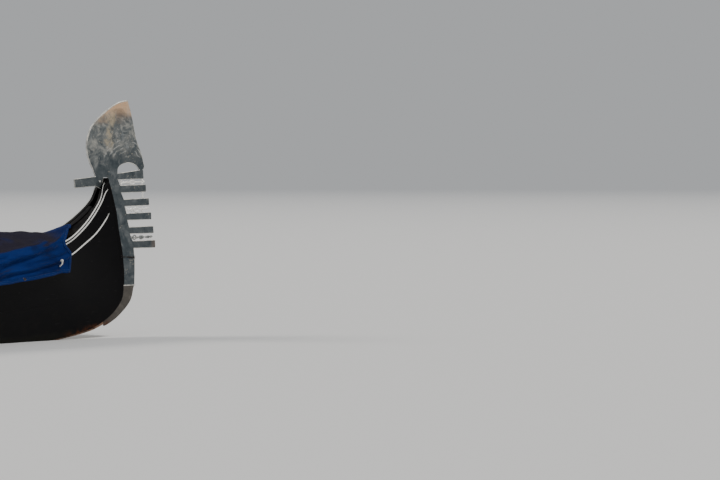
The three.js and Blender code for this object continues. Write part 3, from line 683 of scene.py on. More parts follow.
# A rivet head's rings: share of its radius, share of its height.
DOME = [(1.0, -0.15), (0.92, 0.45), (0.6, 0.85), (0.22, 1.0)]
DOME_AROUND = 12
# A direction that no rivet points in; its corners are counted from there.
DOME_START = Vector((0.3, 0.2, 0.9))


def domes(name, places, radius, height, material):
    """Rivet heads: places are (point, outward direction)."""
    skin = Skin()
    for point, out in places:
        out = out.normalized()
        across = out.cross(DOME_START).normalized()
        third = out.cross(across)
        rings = [circle(point + out * height * up, across, third, radius * s, DOME_AROUND) for s, up in DOME]
        skin.add(rings)
    return link(name, skin.mesh(name), material)


WELD = 1e-5
SHARP_OVER = math.radians(35)
FLAT_WITHIN = math.radians(0.6)
BEVEL_OVER = math.radians(40)
# Worked pieces of the CAD and the width of their rounded edges.
ROUNDED = {
    "ferro_blade": 0.0034,
    "ferro_lower_band": 0.0012,
    "ferro_keel_strip": 0.0025,
    "stern_iron": 0.0020,
    "forcola_block": 0.0060,
    "stem_post": 0.0020,
    "stern_post": 0.0020,
    "fore_coaming": 0.0030,
    "aft_coaming": 0.0030,
}


def soft_group():
    """Geometry nodes that join a CAD mesh's loose corners and shade it smooth up to an angle."""
    tree = bpy.data.node_groups.new("soften", "GeometryNodeTree")
    for way in ("INPUT", "OUTPUT"):
        tree.interface.new_socket("Geometry", in_out=way, socket_type="NodeSocketGeometry")
    start = tree.nodes.new("NodeGroupInput")
    merge = tree.nodes.new("GeometryNodeMergeByDistance")
    merge.inputs["Distance"].default_value = WELD
    smooth = tree.nodes.new("GeometryNodeSetShadeSmooth")
    angle = tree.nodes.new("GeometryNodeInputMeshEdgeAngle")
    sharp = tree.nodes.new("FunctionNodeCompare")
    sharp.data_type = "FLOAT"
    sharp.operation = "LESS_THAN"
    sharp.inputs[1].default_value = SHARP_OVER
    edges = tree.nodes.new("GeometryNodeSetShadeSmooth")
    edges.domain = "EDGE"
    end = tree.nodes.new("NodeGroupOutput")
    for output, socket in [
        (start.outputs[0], merge.inputs["Geometry"]),
        (merge.outputs[0], smooth.inputs["Geometry"]),
        (angle.outputs["Unsigned Angle"], sharp.inputs[0]),
        (smooth.outputs[0], edges.inputs["Geometry"]),
        (sharp.outputs[0], edges.inputs["Shade Smooth"]),
        (edges.outputs[0], end.inputs[0]),
    ]:
        tree.links.new(output, socket)
    return tree


def finish_cad_nodes():
    """Every CAD node gets its material, smooth shading, and rounded edges where it is a worked piece."""
    soften = soft_group()
    slots = {row["node"]: row["material_slot"] for row in frame["record"]["subparts"]}
    for name, made in NODES.items():
        made.data.materials.clear()
        made.data.materials.append(SLOT_MATERIALS[slots[name]])
        modifier(made, "NODES", "soften", node_group=soften)
        if name not in ROUNDED:
            continue
        modifier(made, "DECIMATE", "flat", decimate_type="DISSOLVE", angle_limit=FLAT_WITHIN)
        edge = modifier(made, "BEVEL", "edge", width=ROUNDED[name], segments=2, limit_method="ANGLE")
        edge.angle_limit = BEVEL_OVER
        edge.use_clamp_overlap = False
        edge.harden_normals = True
        # The blade's bevels take the edge highlight material: a painted highlight along its edges.
        if name == "ferro_blade":
            made.data.materials.append(EDGE_HIGHLIGHT)
            edge.material = 1


# Painted beads: on the rail's outer corner, under the rail and along the foot of the sheer band.
# Sizes are half width and height.

SHEER_BEAD_SIZE = (4.8, 3.4)
RAIL_BEAD_SIZE = (6.4, 7.0)
BAND_BEAD_SIZE = (5.2, 4.5)
SHEER_BEAD_FRONT_X = -262
RAIL_BEAD_FRONT_X = -238
BAND_BEAD_FRONT_X = -266
BEAD_PROFILE = [(-1, -0.35), (-0.85, 0.5), (-0.45, 0.9), (0, 1), (0.45, 0.9), (0.85, 0.5), (1, -0.35)]
BEAD_STEP = 26
BEAD_TAPER = 60
BEAD_END_SHARE = 0.25
# How far the rail's bead lies under the rail, and the band's bead over the foot of the band.
UNDER_RAIL = 7.5
OVER_FOOT = 5
# How much further the two upper beads stand apart at the head, and the t over which they part.
HEAD_SPREAD = 27
SPREAD_T = (170, 60)


def bead(name, side, centre, proud, size, front_x):
    """A half-round line of paint along the hull, tapered at its ends."""
    half, high = size
    start = t_at_x(front_x)
    length = T_END - start
    count = int(length / BEAD_STEP)
    rings = []
    for i in range(count + 1):
        t = start + length * i / count
        taper = lerp(BEAD_END_SHARE, 1, min(1, min(t - start, T_END - t) / BEAD_TAPER))
        ring = []
        for across, up in BEAD_PROFILE:
            down = centre(t) + across * half * taper
            ring.append(hull_point(side, t, down, proud(side, t) + up * high * taper))
        rings.append(ring)
    return link(name, Skin().add(rings).mesh(name), PAINT)


def on_band(side, t):
    return BAND_PROUD


def rail_bead_depth(t):
    return rail_depth(t) + UNDER_RAIL + HEAD_SPREAD * smoothstep(*SPREAD_T, t)


def band_bead_depth(t):
    return LINES["band"](t) - OVER_FOOT


def make_beads():
    for side, word in SIDES:
        bead("sheer_bead_" + word, side, lambda t: 1, rail_proud, SHEER_BEAD_SIZE, SHEER_BEAD_FRONT_X)
        bead("rail_bead_" + word, side, rail_bead_depth, on_band, RAIL_BEAD_SIZE, RAIL_BEAD_FRONT_X)
        bead("band_bead_" + word, side, band_bead_depth, on_band, BAND_BEAD_SIZE, BAND_BEAD_FRONT_X)


# Bow iron: rim of the head, castings between the teeth, wire tie, strap and rivets.

HEAD_RIM = [
    (-52, 1679), (-120, 1666), (-180, 1637), (-282, 1565),
    (-344, 1494), (-373, 1402), (-363, 1320), (-331, 1249),
]
HEAD_RIM_RADII = (5.0, 3.2)
HEAD_RIM_STEPS = 56
HEAD_RIM_AROUND = 12
CAST_HALF = 4.8
CAST_AROUND = 10


def make_head_rim():
    points = [in_plane(x, z) for x, z in through(HEAD_RIM, HEAD_RIM_STEPS)]
    radii = [lerp(*HEAD_RIM_RADII, i / HEAD_RIM_STEPS) * MM for i in range(len(points))]
    skin = Skin().add(tube(points, radii, HEAD_RIM_AROUND))
    # The rim takes the edge highlight material: a painted highlight along the head's back edge.
    link("head_rim", skin.mesh("head_rim"), EDGE_HIGHLIGHT)


def cast_stroke(points, radii, closed=False):
    """Rings of a cast bar in the centre plane; its half thickness across the plane is CAST_HALF at most."""
    rings = []
    last = len(points) - 1
    for i, ((x, z), radius) in enumerate(zip(points, radii)):
        ahead = points[(i + 1) % len(points)] if closed else points[min(i + 1, last)]
        behind = points[i - 1] if closed else points[max(i - 1, 0)]
        length = math.dist(ahead, behind) or 1
        nx, nz = (behind[1] - ahead[1]) / length, (ahead[0] - behind[0]) / length
        ring = []
        for angle in turns(CAST_AROUND):
            reach = radius * math.cos(angle)
            ring.append(in_plane(x + nx * reach, z + nz * reach, min(radius, CAST_HALF) * math.sin(angle)))
        rings.append(ring)
    return rings, closed


# How the ends of a cast bar round off: distance from the end in radii, share of the radius; and the
# share of the bar's length that an end takes at most.
BAR_END = [(0, 0.2), (0.25, 0.8), (0.6, 1)]
BAR_END_MOST = 0.3
# Latitudes of a cast dot's rings, in degrees.
DOT_RINGS = (-84, -60, -30, 0, 30, 60, 84)
RING_STEPS = 28
# A cast leaf: its steps, its least radius, and a power under 1 that moves its widest place to the start.
LEAF_STEPS = 8
LEAF_LEAST = 0.6
LEAF_POWER = 0.8


def bar(x0, z0, x1, z1, radius, end_radius=None):
    end_radius = end_radius or radius
    length = math.hypot(x1 - x0, z1 - z0)
    steps = []
    for along, grow in BAR_END:
        steps.append((min(BAR_END_MOST, along * radius / length), radius * grow))
    for along, grow in BAR_END[::-1]:
        steps.append((1 - min(BAR_END_MOST, along * end_radius / length), end_radius * grow))
    return cast_stroke([(lerp(x0, x1, s), lerp(z0, z1, s)) for s, _ in steps], [r for _, r in steps])


def dot(x, z, radius):
    steps = [math.radians(a) for a in DOT_RINGS]
    return cast_stroke([(x + radius * math.sin(a), z) for a in steps], [radius * math.cos(a) for a in steps])


def ring(x, z, radius_x, radius_z, wire, power=1.0):
    """A ring; with power above 1 it turns into a diamond."""
    points = []
    for angle in turns(RING_STEPS):
        c, s = math.cos(angle), math.sin(angle)
        reach_x = radius_x * math.copysign(abs(c) ** power, c)
        reach_z = radius_z * math.copysign(abs(s) ** power, s)
        points.append((x + reach_x, z + reach_z))
    return cast_stroke(points, [wire] * len(points), closed=True)


def leaf(x0, z0, x1, z1, half):
    steps = [k / LEAF_STEPS for k in range(LEAF_STEPS + 1)]
    radii = [max(LEAF_LEAST, half * math.sin(math.pi * s**LEAF_POWER)) for s in steps]
    return cast_stroke([(lerp(x0, x1, s), lerp(z0, z1, s)) for s in steps], radii)


def casting(name, strokes, material, node=None):
    skin = Skin()
    for rings, closed in strokes:
        skin.add(rings, closed)
    made = link(name, skin.mesh(name), material)
    if node:
        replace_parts(made, node)


def make_castings():
    """Castings in the first, third and fifth gaps of the comb, and a small upright bar in the second."""
    top = [
        bar(-112, 1157, 2, 1160, 3.4),
        dot(-104, 1166, 6.8),
        dot(-104, 1149, 6.8),
        leaf(-97, 1157, -70, 1158, 9),
        dot(-66, 1158, 8.5),
        bar(-53, 1147, -53, 1169, 4.6),
        ring(-20, 1159, 19, 11.5, 4.8),
        bar(0, 1160, 58, 1162, 5.6),
        dot(61, 1172, 7.2),
        dot(72, 1163, 7.6),
        dot(61, 1153, 7.2),
    ]
    casting("comb_casting_1", top, BRIGHT_METAL, "comb_ornament_1")
    middle = [
        bar(-66, 966, -65, 1002, 7.2),
        cast_stroke([(-60, 984), (-51, 984), (-41, 984), (-31, 984), (-22, 984)], [16, 11, 6.5, 11, 16]),
        bar(-24, 984, -6, 984, 6.0),
        ring(12, 984, 20, 14, 7.4, 1.35),
        bar(30, 984, 84, 988, 6.2),
        bar(58, 969, 57, 1002, 7.0),
        bar(80, 988, 118, 998, 7.4, 4.6),
    ]
    casting("comb_casting_2", middle, BRIGHT_METAL, "comb_ornament_2")
    low = [
        bar(-36, 806, 120, 809, 3.6),
        dot(-26, 806, 9.5),
        ring(-2, 807, 12, 13, 4.8),
        dot(20, 807, 8.5),
        leaf(28, 807, 80, 808, 15),
        dot(90, 808, 8.5),
        dot(106, 809, 10.5),
        leaf(114, 809, 143, 811, 9),
    ]
    casting("comb_casting_3", low, WEATHERED_METAL, "comb_ornament_3")
    casting("comb_pin", [bar(63, 1056, 63, 1097, 7.2)], BRIGHT_METAL)


WIRE_RADIUS = 1.3
WIRE_AROUND = 8
WIRE_STEPS = 28
WIRE_PATHS = [
    [(-124, 21.8, 693), (-108, 19, 690), (-90, 7, 687), (-50, 6.2, 679), (-6, 6.4, 680), (4, 0, 681)],
    [(-124, 21.8, 681), (-108, 19, 683), (-90, 7, 681), (-50, 6.2, 685), (-6, 6.4, 674), (4, 0, 673)],
    [(-90, 5.9, 684), (-60, 7.6, 683), (-30, 8.4, 681), (-6, 7.2, 686), (4, 0, 688)],
]
# Where the ends are twisted together on the starboard side: (x, z) of both ends of the twist.
TWIST = [(-46, 681), (-8, 679)]
TWIST_STEPS = 60
TWIST_TURNS = 5
TWIST_Y = -8
TWIST_WIDE = 3.2
TWIST_HIGH = 3.6


def make_wire_tie():
    """Dark wire crossed over the spine under the comb and nailed to the planking on both sides."""
    skin = Skin()
    for side in (-1, 1):
        for path in WIRE_PATHS:
            line = [row_frame(x, side * max(0, y), z) for x, y, z in through(path, WIRE_STEPS)]
            skin.add(tube(line, WIRE_RADIUS * MM, WIRE_AROUND))
    (x0, z0), (x1, z1) = TWIST
    coil = []
    for k in range(TWIST_STEPS + 1):
        share = k / TWIST_STEPS
        angle = 2 * math.pi * TWIST_TURNS * share
        z = lerp(z0, z1, share) + TWIST_HIGH * math.sin(angle)
        coil.append(row_frame(lerp(x0, x1, share), TWIST_Y - TWIST_WIDE * math.cos(angle), z))
    skin.add(tube(coil, WIRE_RADIUS * MM, WIRE_AROUND))
    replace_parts(link("wire_tie", skin.mesh("wire_tie"), WIRE), "spine_clip")


STRAP = [(-93, 500), (-93, 505), (1, 505), (-1, 500)]
STRAP_HALF = 0.0078
STRAP_EDGE = 0.001
RIVET_HIGH = 0.0016
BAND_RIVETS = [(-46, 482), (-62, 430), (-92, 382), (-140, 336), (-196, 296)]
TOOTH_RIVETS = [(-272, 1165)]


def make_bow_fittings():
    strap = [(in_plane(x, z).x, in_plane(x, z).z) for x, z in STRAP]
    low_y, high_y = STEM.y - STRAP_HALF, STEM.y + STRAP_HALF
    # The strap takes the edge highlight material: a painted highlight.
    prism("joint_strap", strap, low_y, high_y, EDGE_HIGHLIGHT, STRAP_EDGE)
    for name, spots, half, radius, material, slot in [
        ("band_rivets", BAND_RIVETS, 7.0, 0.0042, WORN, "worn_iron"),
        ("tooth_rivets", TOOTH_RIVETS, 4.5, 0.0062, BRIGHT_METAL, "bow_steel"),
    ]:
        places = [(in_plane(x, z, side * half), Vector((0, side, 0))) for side in (-1, 1) for x, z in spots]
        domes(name, places, radius, RIVET_HIGH, material)


# Rowing crutch and footboard.

CRUTCH_X = -7880
CRUTCH_SIGHT = 150
CRUTCH_GAP = 0.0003
# Columns: z above the block, centre x, centre y, half length, half width.
CRUTCH_SECTIONS = [
    [0, 0, 0, 73, 29],
    [90, -4, 0, 60, 25],
    [180, -22, 4, 48, 23],
    [260, -48, 10, 46, 23],
    [330, -58, 6, 54, 24],
    [385, -36, -4, 74, 25],
    [420, -16, -8, 90, 24],
    [472, -8, -10, 86, 19],
]
CRUTCH_LEVELS = 48
CRUTCH_AROUND = 32
# The hollow down each flank: its share of the half width, its middle and width as shares of the half
# length, and the heights over which it starts.
FLUTE_DEEP = 0.16
FLUTE_AT = 0.35
FLUTE_WIDE = 0.28
FLUTE_FROM = (60, 180)
# The notch: x and z of its round bottom, its radius, and how high and wide the tool that cuts it is.
NOTCH = (-26, 432, 24)
NOTCH_TOP = 520
NOTCH_WIDE = 0.08
NOTCH_STEPS = 16
TENON = (35, 13, -70, 20)
CARVED_WITHIN = 0.003


def crutch_rings():
    heights = [row[0] for row in CRUTCH_SECTIONS]
    columns = [natural_spline(heights, [row[k] for row in CRUTCH_SECTIONS]) for k in range(1, 5)]
    rings = []
    for i in range(CRUTCH_LEVELS + 1):
        z = heights[-1] * i / CRUTCH_LEVELS
        x, y, long, wide = [column(z) for column in columns]
        ring = []
        for angle in turns(CRUTCH_AROUND):
            gap = (math.cos(angle) - FLUTE_AT) / FLUTE_WIDE
            flute = 1 - FLUTE_DEEP * math.exp(-(gap**2)) * smoothstep(*FLUTE_FROM, z)
            ring.append(Vector((x + long * math.cos(angle), y + wide * math.sin(angle) * flute, z)) * MM)
        rings.append(ring)
    return rings


def make_crutch():
    """A carved walnut crutch: lofted sections and tenon made one, notched for the oar, then rounded over."""
    low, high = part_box("forcola_block")
    ahead, behind = [half_breadth(-1, t_at_x(CRUTCH_X + step)) for step in (CRUTCH_SIGHT, -CRUTCH_SIGHT)]
    turn = -math.atan2(ahead - behind, 2 * CRUTCH_SIGHT)
    foot = Matrix.Translation(((low.x + high.x) / 2, (low.y + high.y) / 2, high.z + CRUTCH_GAP))
    mesh = Skin().add(crutch_rings()).mesh("carved_crutch")
    made = link("carved_crutch", mesh, WALNUT_WOOD, body="crutch")
    long, wide, bottom, top = [value * MM for value in TENON]
    outline = [(-long, bottom), (long, bottom), (long, top), (-long, top)]
    tenon = add_object("tenon", prism_mesh("tenon", outline, -wide, wide))
    x, z, radius = NOTCH
    bends = [math.pi * (1 + k / NOTCH_STEPS) for k in range(NOTCH_STEPS + 1)]
    cut = [(x + radius * math.cos(a), z + radius * math.sin(a)) for a in bends]
    cut += [(x + radius, NOTCH_TOP), (x - radius, NOTCH_TOP)]
    cut = [(a * MM, b * MM) for a, b in cut]
    notch = add_object("notch", prism_mesh("notch", cut, -NOTCH_WIDE, NOTCH_WIDE))
    modifier(made, "BOOLEAN", "tenon", operation="UNION", object=tenon)
    modifier(made, "BOOLEAN", "notch", operation="DIFFERENCE", object=notch)
    modifier(made, "REMESH", "skin", mode="VOXEL", voxel_size=CARVED_WITHIN, use_smooth_shade=True)
    modifier(made, "SMOOTH", "worn", factor=0.6, iterations=8)
    applied(made)
    for tool in (tenon, notch):
        bpy.data.objects.remove(tool)
    made.data.transform(foot @ Matrix.Rotation(turn, 4, "Z"))
    made.data.shade_smooth()
    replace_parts(made, "forcola")


AFT_DECK = ["aft_deck_port", "aft_deck_starboard", "aft_deck_ridge"]
TREES = {}


def deck_height(x, y):
    """Height of the aft deck at a place in the row frame, or None beside it."""
    heights = []
    for name in AFT_DECK:
        if name not in TREES:
            mesh = NODES[name].data
            faces = [face.vertices for face in mesh.polygons]
            TREES[name] = BVHTree.FromPolygons([v.co for v in mesh.vertices], faces)
        hit = TREES[name].ray_cast(Vector((x, y, 3)), Vector((0, 0, -1)))[0]
        if hit is not None:
            heights.append(hit.z)
    return max(heights, default=None)


BOARD_UNDER_BATTENS = 0.007
BOARD_SLOPE = 0.066
BOARD_THICK = 0.018
CHEEK_THICK = 0.018
CHEEK_INSET = 0.012
CHEEK_END_INSET = 0.010
# How much the board's underside rises over that inset.
CHEEK_END_RISE = 0.001
DECK_GAP = 0.002
BATTENS = 5
BATTEN_INSET = 0.012
# Widths of the rounded edges.
BOARD_EDGE = 0.004
CHEEK_EDGE = 0.002
BATTEN_EDGE = 0.002
BATTEN_OUTLINE = [(0.006, -0.003), (-0.006, -0.001), (-0.006, 0.007), (0.006, 0.005)]


def make_footboard():
    """A sloping walnut board on two cheeks, with non-slip battens across it."""
    low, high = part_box("footboard")
    rear = high.z - BOARD_UNDER_BATTENS
    front = rear - BOARD_SLOPE
    slab = [(high.x, front), (high.x, front - BOARD_THICK), (low.x, rear - BOARD_THICK), (low.x, rear)]
    board = prism("footboard_slab", slab, low.y, high.y, WALNUT_WOOD, BOARD_EDGE)
    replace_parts(board, "footboard")
    port_y = high.y - CHEEK_INSET
    starboard_y = low.y + CHEEK_INSET + CHEEK_THICK
    for name, y in [("footboard_cheek_port", port_y), ("footboard_cheek_starboard", starboard_y)]:
        middle = y - CHEEK_THICK / 2
        cheek = [
            (high.x - CHEEK_END_INSET, front - BOARD_THICK + CHEEK_END_RISE),
            (high.x - CHEEK_END_INSET, deck_height(high.x, middle) + DECK_GAP),
            (low.x + CHEEK_END_INSET, deck_height(low.x, middle) + DECK_GAP),
            (low.x + CHEEK_END_INSET, rear - BOARD_THICK - CHEEK_END_RISE),
        ]
        prism(name, cheek, y - CHEEK_THICK, y, WALNUT_WOOD, CHEEK_EDGE)
    for k in range(BATTENS):
        share = (k + 0.5) / BATTENS
        x, z = lerp(high.x, low.x, share), lerp(front, rear, share)
        batten = [(x + a, z + b) for a, b in BATTEN_OUTLINE]
        name = "footboard_batten_%d" % (k + 1)
        starboard_end, port_end = low.y + BATTEN_INSET, high.y - BATTEN_INSET
        prism(name, batten, starboard_end, port_end, WALNUT_WOOD, BATTEN_EDGE)


# Rain cover. Its points are in the tables' millimetres; below is the distance below its shoulder.

COVER_REAR_X = -7160
REAR_T = t_at_x(COVER_REAR_X)
COVER_OUT = 10
COVER_SHOULDER = 11
COVER_SKIRT = 194
SKIRT_FRONT = 217
SKIRT_FRONT_X = (-700, -600)
COVER_ROWS = 400
ROOF_COLUMNS = 24
SKIRT_COLUMNS = 20
# Powers above 1 that crowd the rows towards the front edge, and the roof's columns towards the shoulder.
ROW_CROWDING = 1.25
COLUMN_CROWDING = 1.15
# The rear flap: its rows and reach, and the shares of the half breadth between which it starts to fall.
FLAP_ROWS = 8
FLAP_REACH = 60
FLAP_FROM = 0.93
FLAP_FULL = 0.80
FLAP_OVER_DECK = 7
# How round the roof's section is in front and further aft, and the x over which it changes.
ROOF_POWERS = (1.5, 1.22)
ROOF_POWERS_X = (-1500, -3200)
RIDGE_LINE = natural_spline(
    [484, 665, 843, 1018, 1400, 1800, 2800, 4200, 5600, 7160],
    [902, 852, 853, 856, 855, 847, 815, 778, 753, 749],
)
# The front edge: x on the ridge, how far it sweeps back to the shoulder, how much further aft to port,
# how far it comes forward again down the skirt, and how far it goes back at the skirt's foot.
FRONT_X = -500
FRONT_SWEEP = 156
FRONT_SWEEP_POWER = 1.7
PORT_AFT = 62
PORT_AFT_POWER = 1.5
SKIRT_FORWARD = 56
FORWARD_DROP = (0.08, 0.50)
FOOT_BACK = 8
BACK_DROP = (0.6, 1)
# Folds over the rest of the cover; they start over some depths from the shoulder.
FOLD_SPACING = 66
FOLD_SLOPE = 0.225
FOLD_HIGH = 17
FOLD_POWER = 1.8
FOLD_EVEN = 0.60
FOLD_FROM = (-110, 15)
# Slow noise over the cloth: its size along and across, what it adds to the seed, its height.
DRIFT = (420, 160, 0, 36)
SHORT_DRIFT = (130, 60, 5, 9)
UNEVEN = (240, 120, 9, 0.80)
LUMPS = (340, 220, 21, 6)
SMALL_LUMPS = (70, 34, 33, 2.2)
WANDER = (150, 90, 61, 7)
CREASES = (150, 120, 31, 5)
SMALL_CREASES = (60, 90, 57, 2.5)
HEM_WAVE = (110, 1, 2, 6)
SEEDS = {-1: 11, 1: 47}
# Next to the front edge the lumps have only a share of their height, and the hem has no wave.
CALM_SHARE = 0.35
CALM_X = (-620, -760)
HEM_CALM_X = (-640, -760)
# Folds that run aft from the front edge: crest as (x, depth below the shoulder), half width, height.
FRONT_FOLDS = [
    (
        [(-540, -62), (-632, -33), (-736, 2), (-816, 15), (-904, 29), (-1024, 32), (-1232, 62), (-1500, 110)],
        15, 25,
    ),
    ([(-790, -36), (-888, -15), (-1008, -10), (-1232, 20), (-1500, 66)], 12, 17),
    ([(-1000, 46), (-1112, 59), (-1232, 92), (-1500, 140)], 11, 15),
    (
        [(-622, 109), (-712, 112), (-872, 117), (-1024, 122), (-1184, 129), (-1232, 138), (-1500, 172)],
        12.5, 20,
    ),
    ([(-650, 66), (-760, 74), (-900, 79), (-1060, 90)], 11, 9),
    ([(-700, 162), (-820, 154), (-1000, 158), (-1232, 174)], 11, 11),
]
FRONT_CRESTS = []
for crest, half, high in FRONT_FOLDS:
    xs, belows = zip(*crest)
    FRONT_CRESTS.append((natural_spline([-x for x in xs], belows), xs[0], xs[-1], half, high))
# A named fold rises over a length either side of its front end and fades over a length at its rear.
FOLD_RISE = 40
FOLD_FADE = 160
# The trough under a named fold: its place and width in half widths, its share of the height.
TROUGH_AT = 2.0
TROUGH_WIDE = 1.2
TROUGH_DEEP = 0.35
# The x over which the named folds give way to the rest.
FRONT_FROM_X = -1160
FRONT_TO_X = -1480
# Roof battens inside the cover hold it up at a spacing, and it sags between them over the open well.
BATTEN_SPACING = 760
BATTEN_X = -2600
SAG = 19
WELL_FRONT_X = (-2500, -2900)
WELL_REAR_X = (-7150, -6800)
# Where a tie pulls the cloth in, how far, and over what length and height.
TIE_X = -709
TIE_Z = 666
TIE_PULL = 9
TIE_PULL_SIZE = (60, 45)


def swell(kind, seed, x, y):
    """Slow noise of one of the kinds above, up to its height either way."""
    along, across, step, high = kind
    return high * noise.noise(Vector((x / along, y / across, seed + step)))


def cover_front(side, share, drop):
    """x of the cover's front edge at a share of the half breadth and a share of the skirt."""
    aft = PORT_AFT * share**PORT_AFT_POWER if side > 0 else 0
    if drop > 0:
        forward = SKIRT_FORWARD * smoothstep(*FORWARD_DROP, drop) - FOOT_BACK * smoothstep(*BACK_DROP, drop)
        return FRONT_X - FRONT_SWEEP + forward - aft
    return FRONT_X - FRONT_SWEEP * share**FRONT_SWEEP_POWER - aft


def front_folds(x, below):
    """Height of the named folds behind the front edge."""
    total = 0
    for crest, front, rear, half, high in FRONT_CRESTS:
        if x > front + FOLD_RISE or x < rear:
            continue
        gap = below - crest(-x)
        fade = smoothstep(front + FOLD_RISE, front - FOLD_RISE, x) * smoothstep(rear, rear + FOLD_FADE, x)
        rise = math.exp(-((gap / half) ** 2))
        trough = math.exp(-(((gap - TROUGH_AT * half) / (TROUGH_WIDE * half)) ** 2))
        total += high * fade * (rise - TROUGH_DEEP * trough)
    return total


def cover_fold(side, x, below):
    """How far the cloth stands out at x, below the shoulder by some millimetres (negative on the roof)."""
    place = (SEEDS[side], x, below)
    drift = swell(DRIFT, *place) + swell(SHORT_DRIFT, *place)
    phase = (below + FOLD_SLOPE * x + drift) / FOLD_SPACING
    ridge = (0.5 + 0.5 * math.cos(2 * math.pi * phase)) ** FOLD_POWER
    strength = max(0, FOLD_EVEN + swell(UNEVEN, *place))
    on_side = smoothstep(*FOLD_FROM, below)
    behind = smoothstep(FRONT_FROM_X, FRONT_TO_X, x)
    calm = lerp(CALM_SHARE, 1, smoothstep(*CALM_X, x))
    lump = swell(LUMPS, *place) * calm
    small = swell(SMALL_LUMPS, *place) * calm
    named = front_folds(x, below + swell(WANDER, *place)) * (1 - behind)
    return strength * ridge * FOLD_HIGH * on_side * behind + named + lump + small


def cover_point(side, run, share, drop):
    """A point of the cover: run from front to rear, share of the half breadth, share of the skirt."""
    start = t_at_x(cover_front(side, share, drop))
    t = start + run * (REAR_T - start)
    x = LINES["sx"](t)
    half = half_breadth(side, t) + BAND_PROUD + RAIL_PROUD + COVER_OUT
    shoulder = LINES["sz"](t) + COVER_SHOULDER
    if drop > 0:
        below = drop * lerp(COVER_SKIRT, SKIRT_FRONT, smoothstep(*SKIRT_FRONT_X, x))
        pull_long, pull_high = TIE_PULL_SIZE
        from_tie = ((x - TIE_X) / pull_long) ** 2 + ((shoulder - below - TIE_Z) / pull_high) ** 2
        out = cover_fold(side, x, below) - TIE_PULL * math.exp(-from_tie)
        hem = swell(HEM_WAVE, 0, x, side * 3) * drop * smoothstep(*HEM_CALM_X, x)
        return Vector((x, side * (half + out), shoulder - below + hem))
    reach = half * share
    power = lerp(*ROOF_POWERS, smoothstep(*ROOF_POWERS_X, x))
    z = shoulder + (RIDGE_LINE(-x) - shoulder) * (1 - share**power)
    batten = 0.5 - 0.5 * math.cos(2 * math.pi * (x - BATTEN_X) / BATTEN_SPACING)
    open_well = smoothstep(*WELL_FRONT_X, x) * smoothstep(*WELL_REAR_X, x)
    z -= SAG * batten * math.sin(math.pi * share) * open_well
    out = cover_fold(side, x, reach - half)
    crease = swell(CREASES, 0, x, side * reach) + swell(SMALL_CREASES, 0, x, side * reach)
    return Vector((x, side * reach, z + out + crease))


def cover_columns():
    """(side, share, drop) of the cover's columns, from hem to hem."""
    skirt = [(1.0, lerp(1, 0, i / SKIRT_COLUMNS)) for i in range(SKIRT_COLUMNS)]
    roof = [(lerp(1, 0, (i / ROOF_COLUMNS) ** COLUMN_CROWDING), 0.0) for i in range(ROOF_COLUMNS + 1)]
    one_side = skirt + roof
    columns = [(-1, share, drop) for share, drop in one_side]
    return columns + [(1, share, drop) for share, drop in reversed(one_side[:-1])]


EASE_PASSES = 4
EASE_COLUMNS = 3


def eased(rows):
    """Rounds the fold of the cloth over the rail, over some columns either side of it."""
    shoulders = [SKIRT_COLUMNS, len(rows[0]) - 1 - SKIRT_COLUMNS]
    for row in rows:
        for _ in range(EASE_PASSES):
            copy = [p.copy() for p in row]
            for middle in shoulders:
                for j in range(middle - EASE_COLUMNS, middle + EASE_COLUMNS + 1):
                    row[j] = copy[j] * 0.5 + (copy[j - 1] + copy[j + 1]) * 0.25
    return rows


def rear_flap(row, columns):
    """Rows that let the rear edge of the roof fall to the aft deck."""
    rows = []
    for k in range(1, FLAP_ROWS + 1):
        share = k / FLAP_ROWS
        flap = []
        for (_, across, drop), p in zip(columns, row):
            x = p.x - FLAP_REACH * share
            z = p.z
            if drop == 0 and across <= FLAP_FROM:
                place = row_frame(x, p.y, 0)
                deck = deck_height(place.x, place.y)
                landing = z if deck is None else min(z, deck / MM + BASE_DEPTH + FLAP_OVER_DECK)
                z = lerp(z, landing, smoothstep(0, 1, share) * smoothstep(FLAP_FROM, FLAP_FULL, across))
            flap.append(Vector((x, p.y, z)))
        rows.append(flap)
    return rows


CLOTH_THICK = 0.002
# The row along which the cloth's width is measured for its weave.
GIRTH_ROW = 100


def make_cover():
    columns = cover_columns()
    wide = len(columns)
    rows = []
    for i in range(COVER_ROWS + 1):
        run = (i / COVER_ROWS) ** ROW_CROWDING
        rows.append([cover_point(side, run, share, drop) for side, share, drop in columns])
    rows = eased(rows + rear_flap(rows[-1], columns))
    starts = [i * wide + j for i in range(len(rows) - 1) for j in range(wide - 1)]
    faces = [(k, k + 1, k + wide + 1, k + wide) for k in starts]
    mesh = mesh_of("rain_cover_cloth", [p for row in rows for p in placed(row)], faces)
    layer = mesh.uv_layers.new(name="cloth")
    across = distances(rows[GIRTH_ROW])
    for loop in mesh.loops:
        i, j = divmod(loop.vertex_index, wide)
        layer.data[loop.index].uv = (rows[i][j].x * MM, across[j] * MM)
    cloth = link("rain_cover_cloth", mesh, SLOT_MATERIALS["cover_cloth"])
    modifier(cloth, "SOLIDIFY", "thickness", thickness=CLOTH_THICK, offset=0)
    applied(cloth)
    cloth.data.shade_smooth()
    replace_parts(cloth, "rain_cover")
    extras = [make_hem(rows), make_stitches(rows), make_seams(rows), *make_grommets(rows)]


def outward_at(rows, i, j):
    """Direction out of the cloth at a corner of its grid."""
    along = rows[min(i + 1, len(rows) - 1)][j] - rows[max(i - 1, 0)][j]
    across = rows[i][min(j + 1, len(rows[0]) - 1)] - rows[i][max(j - 1, 0)]
    return across.cross(along).normalized()


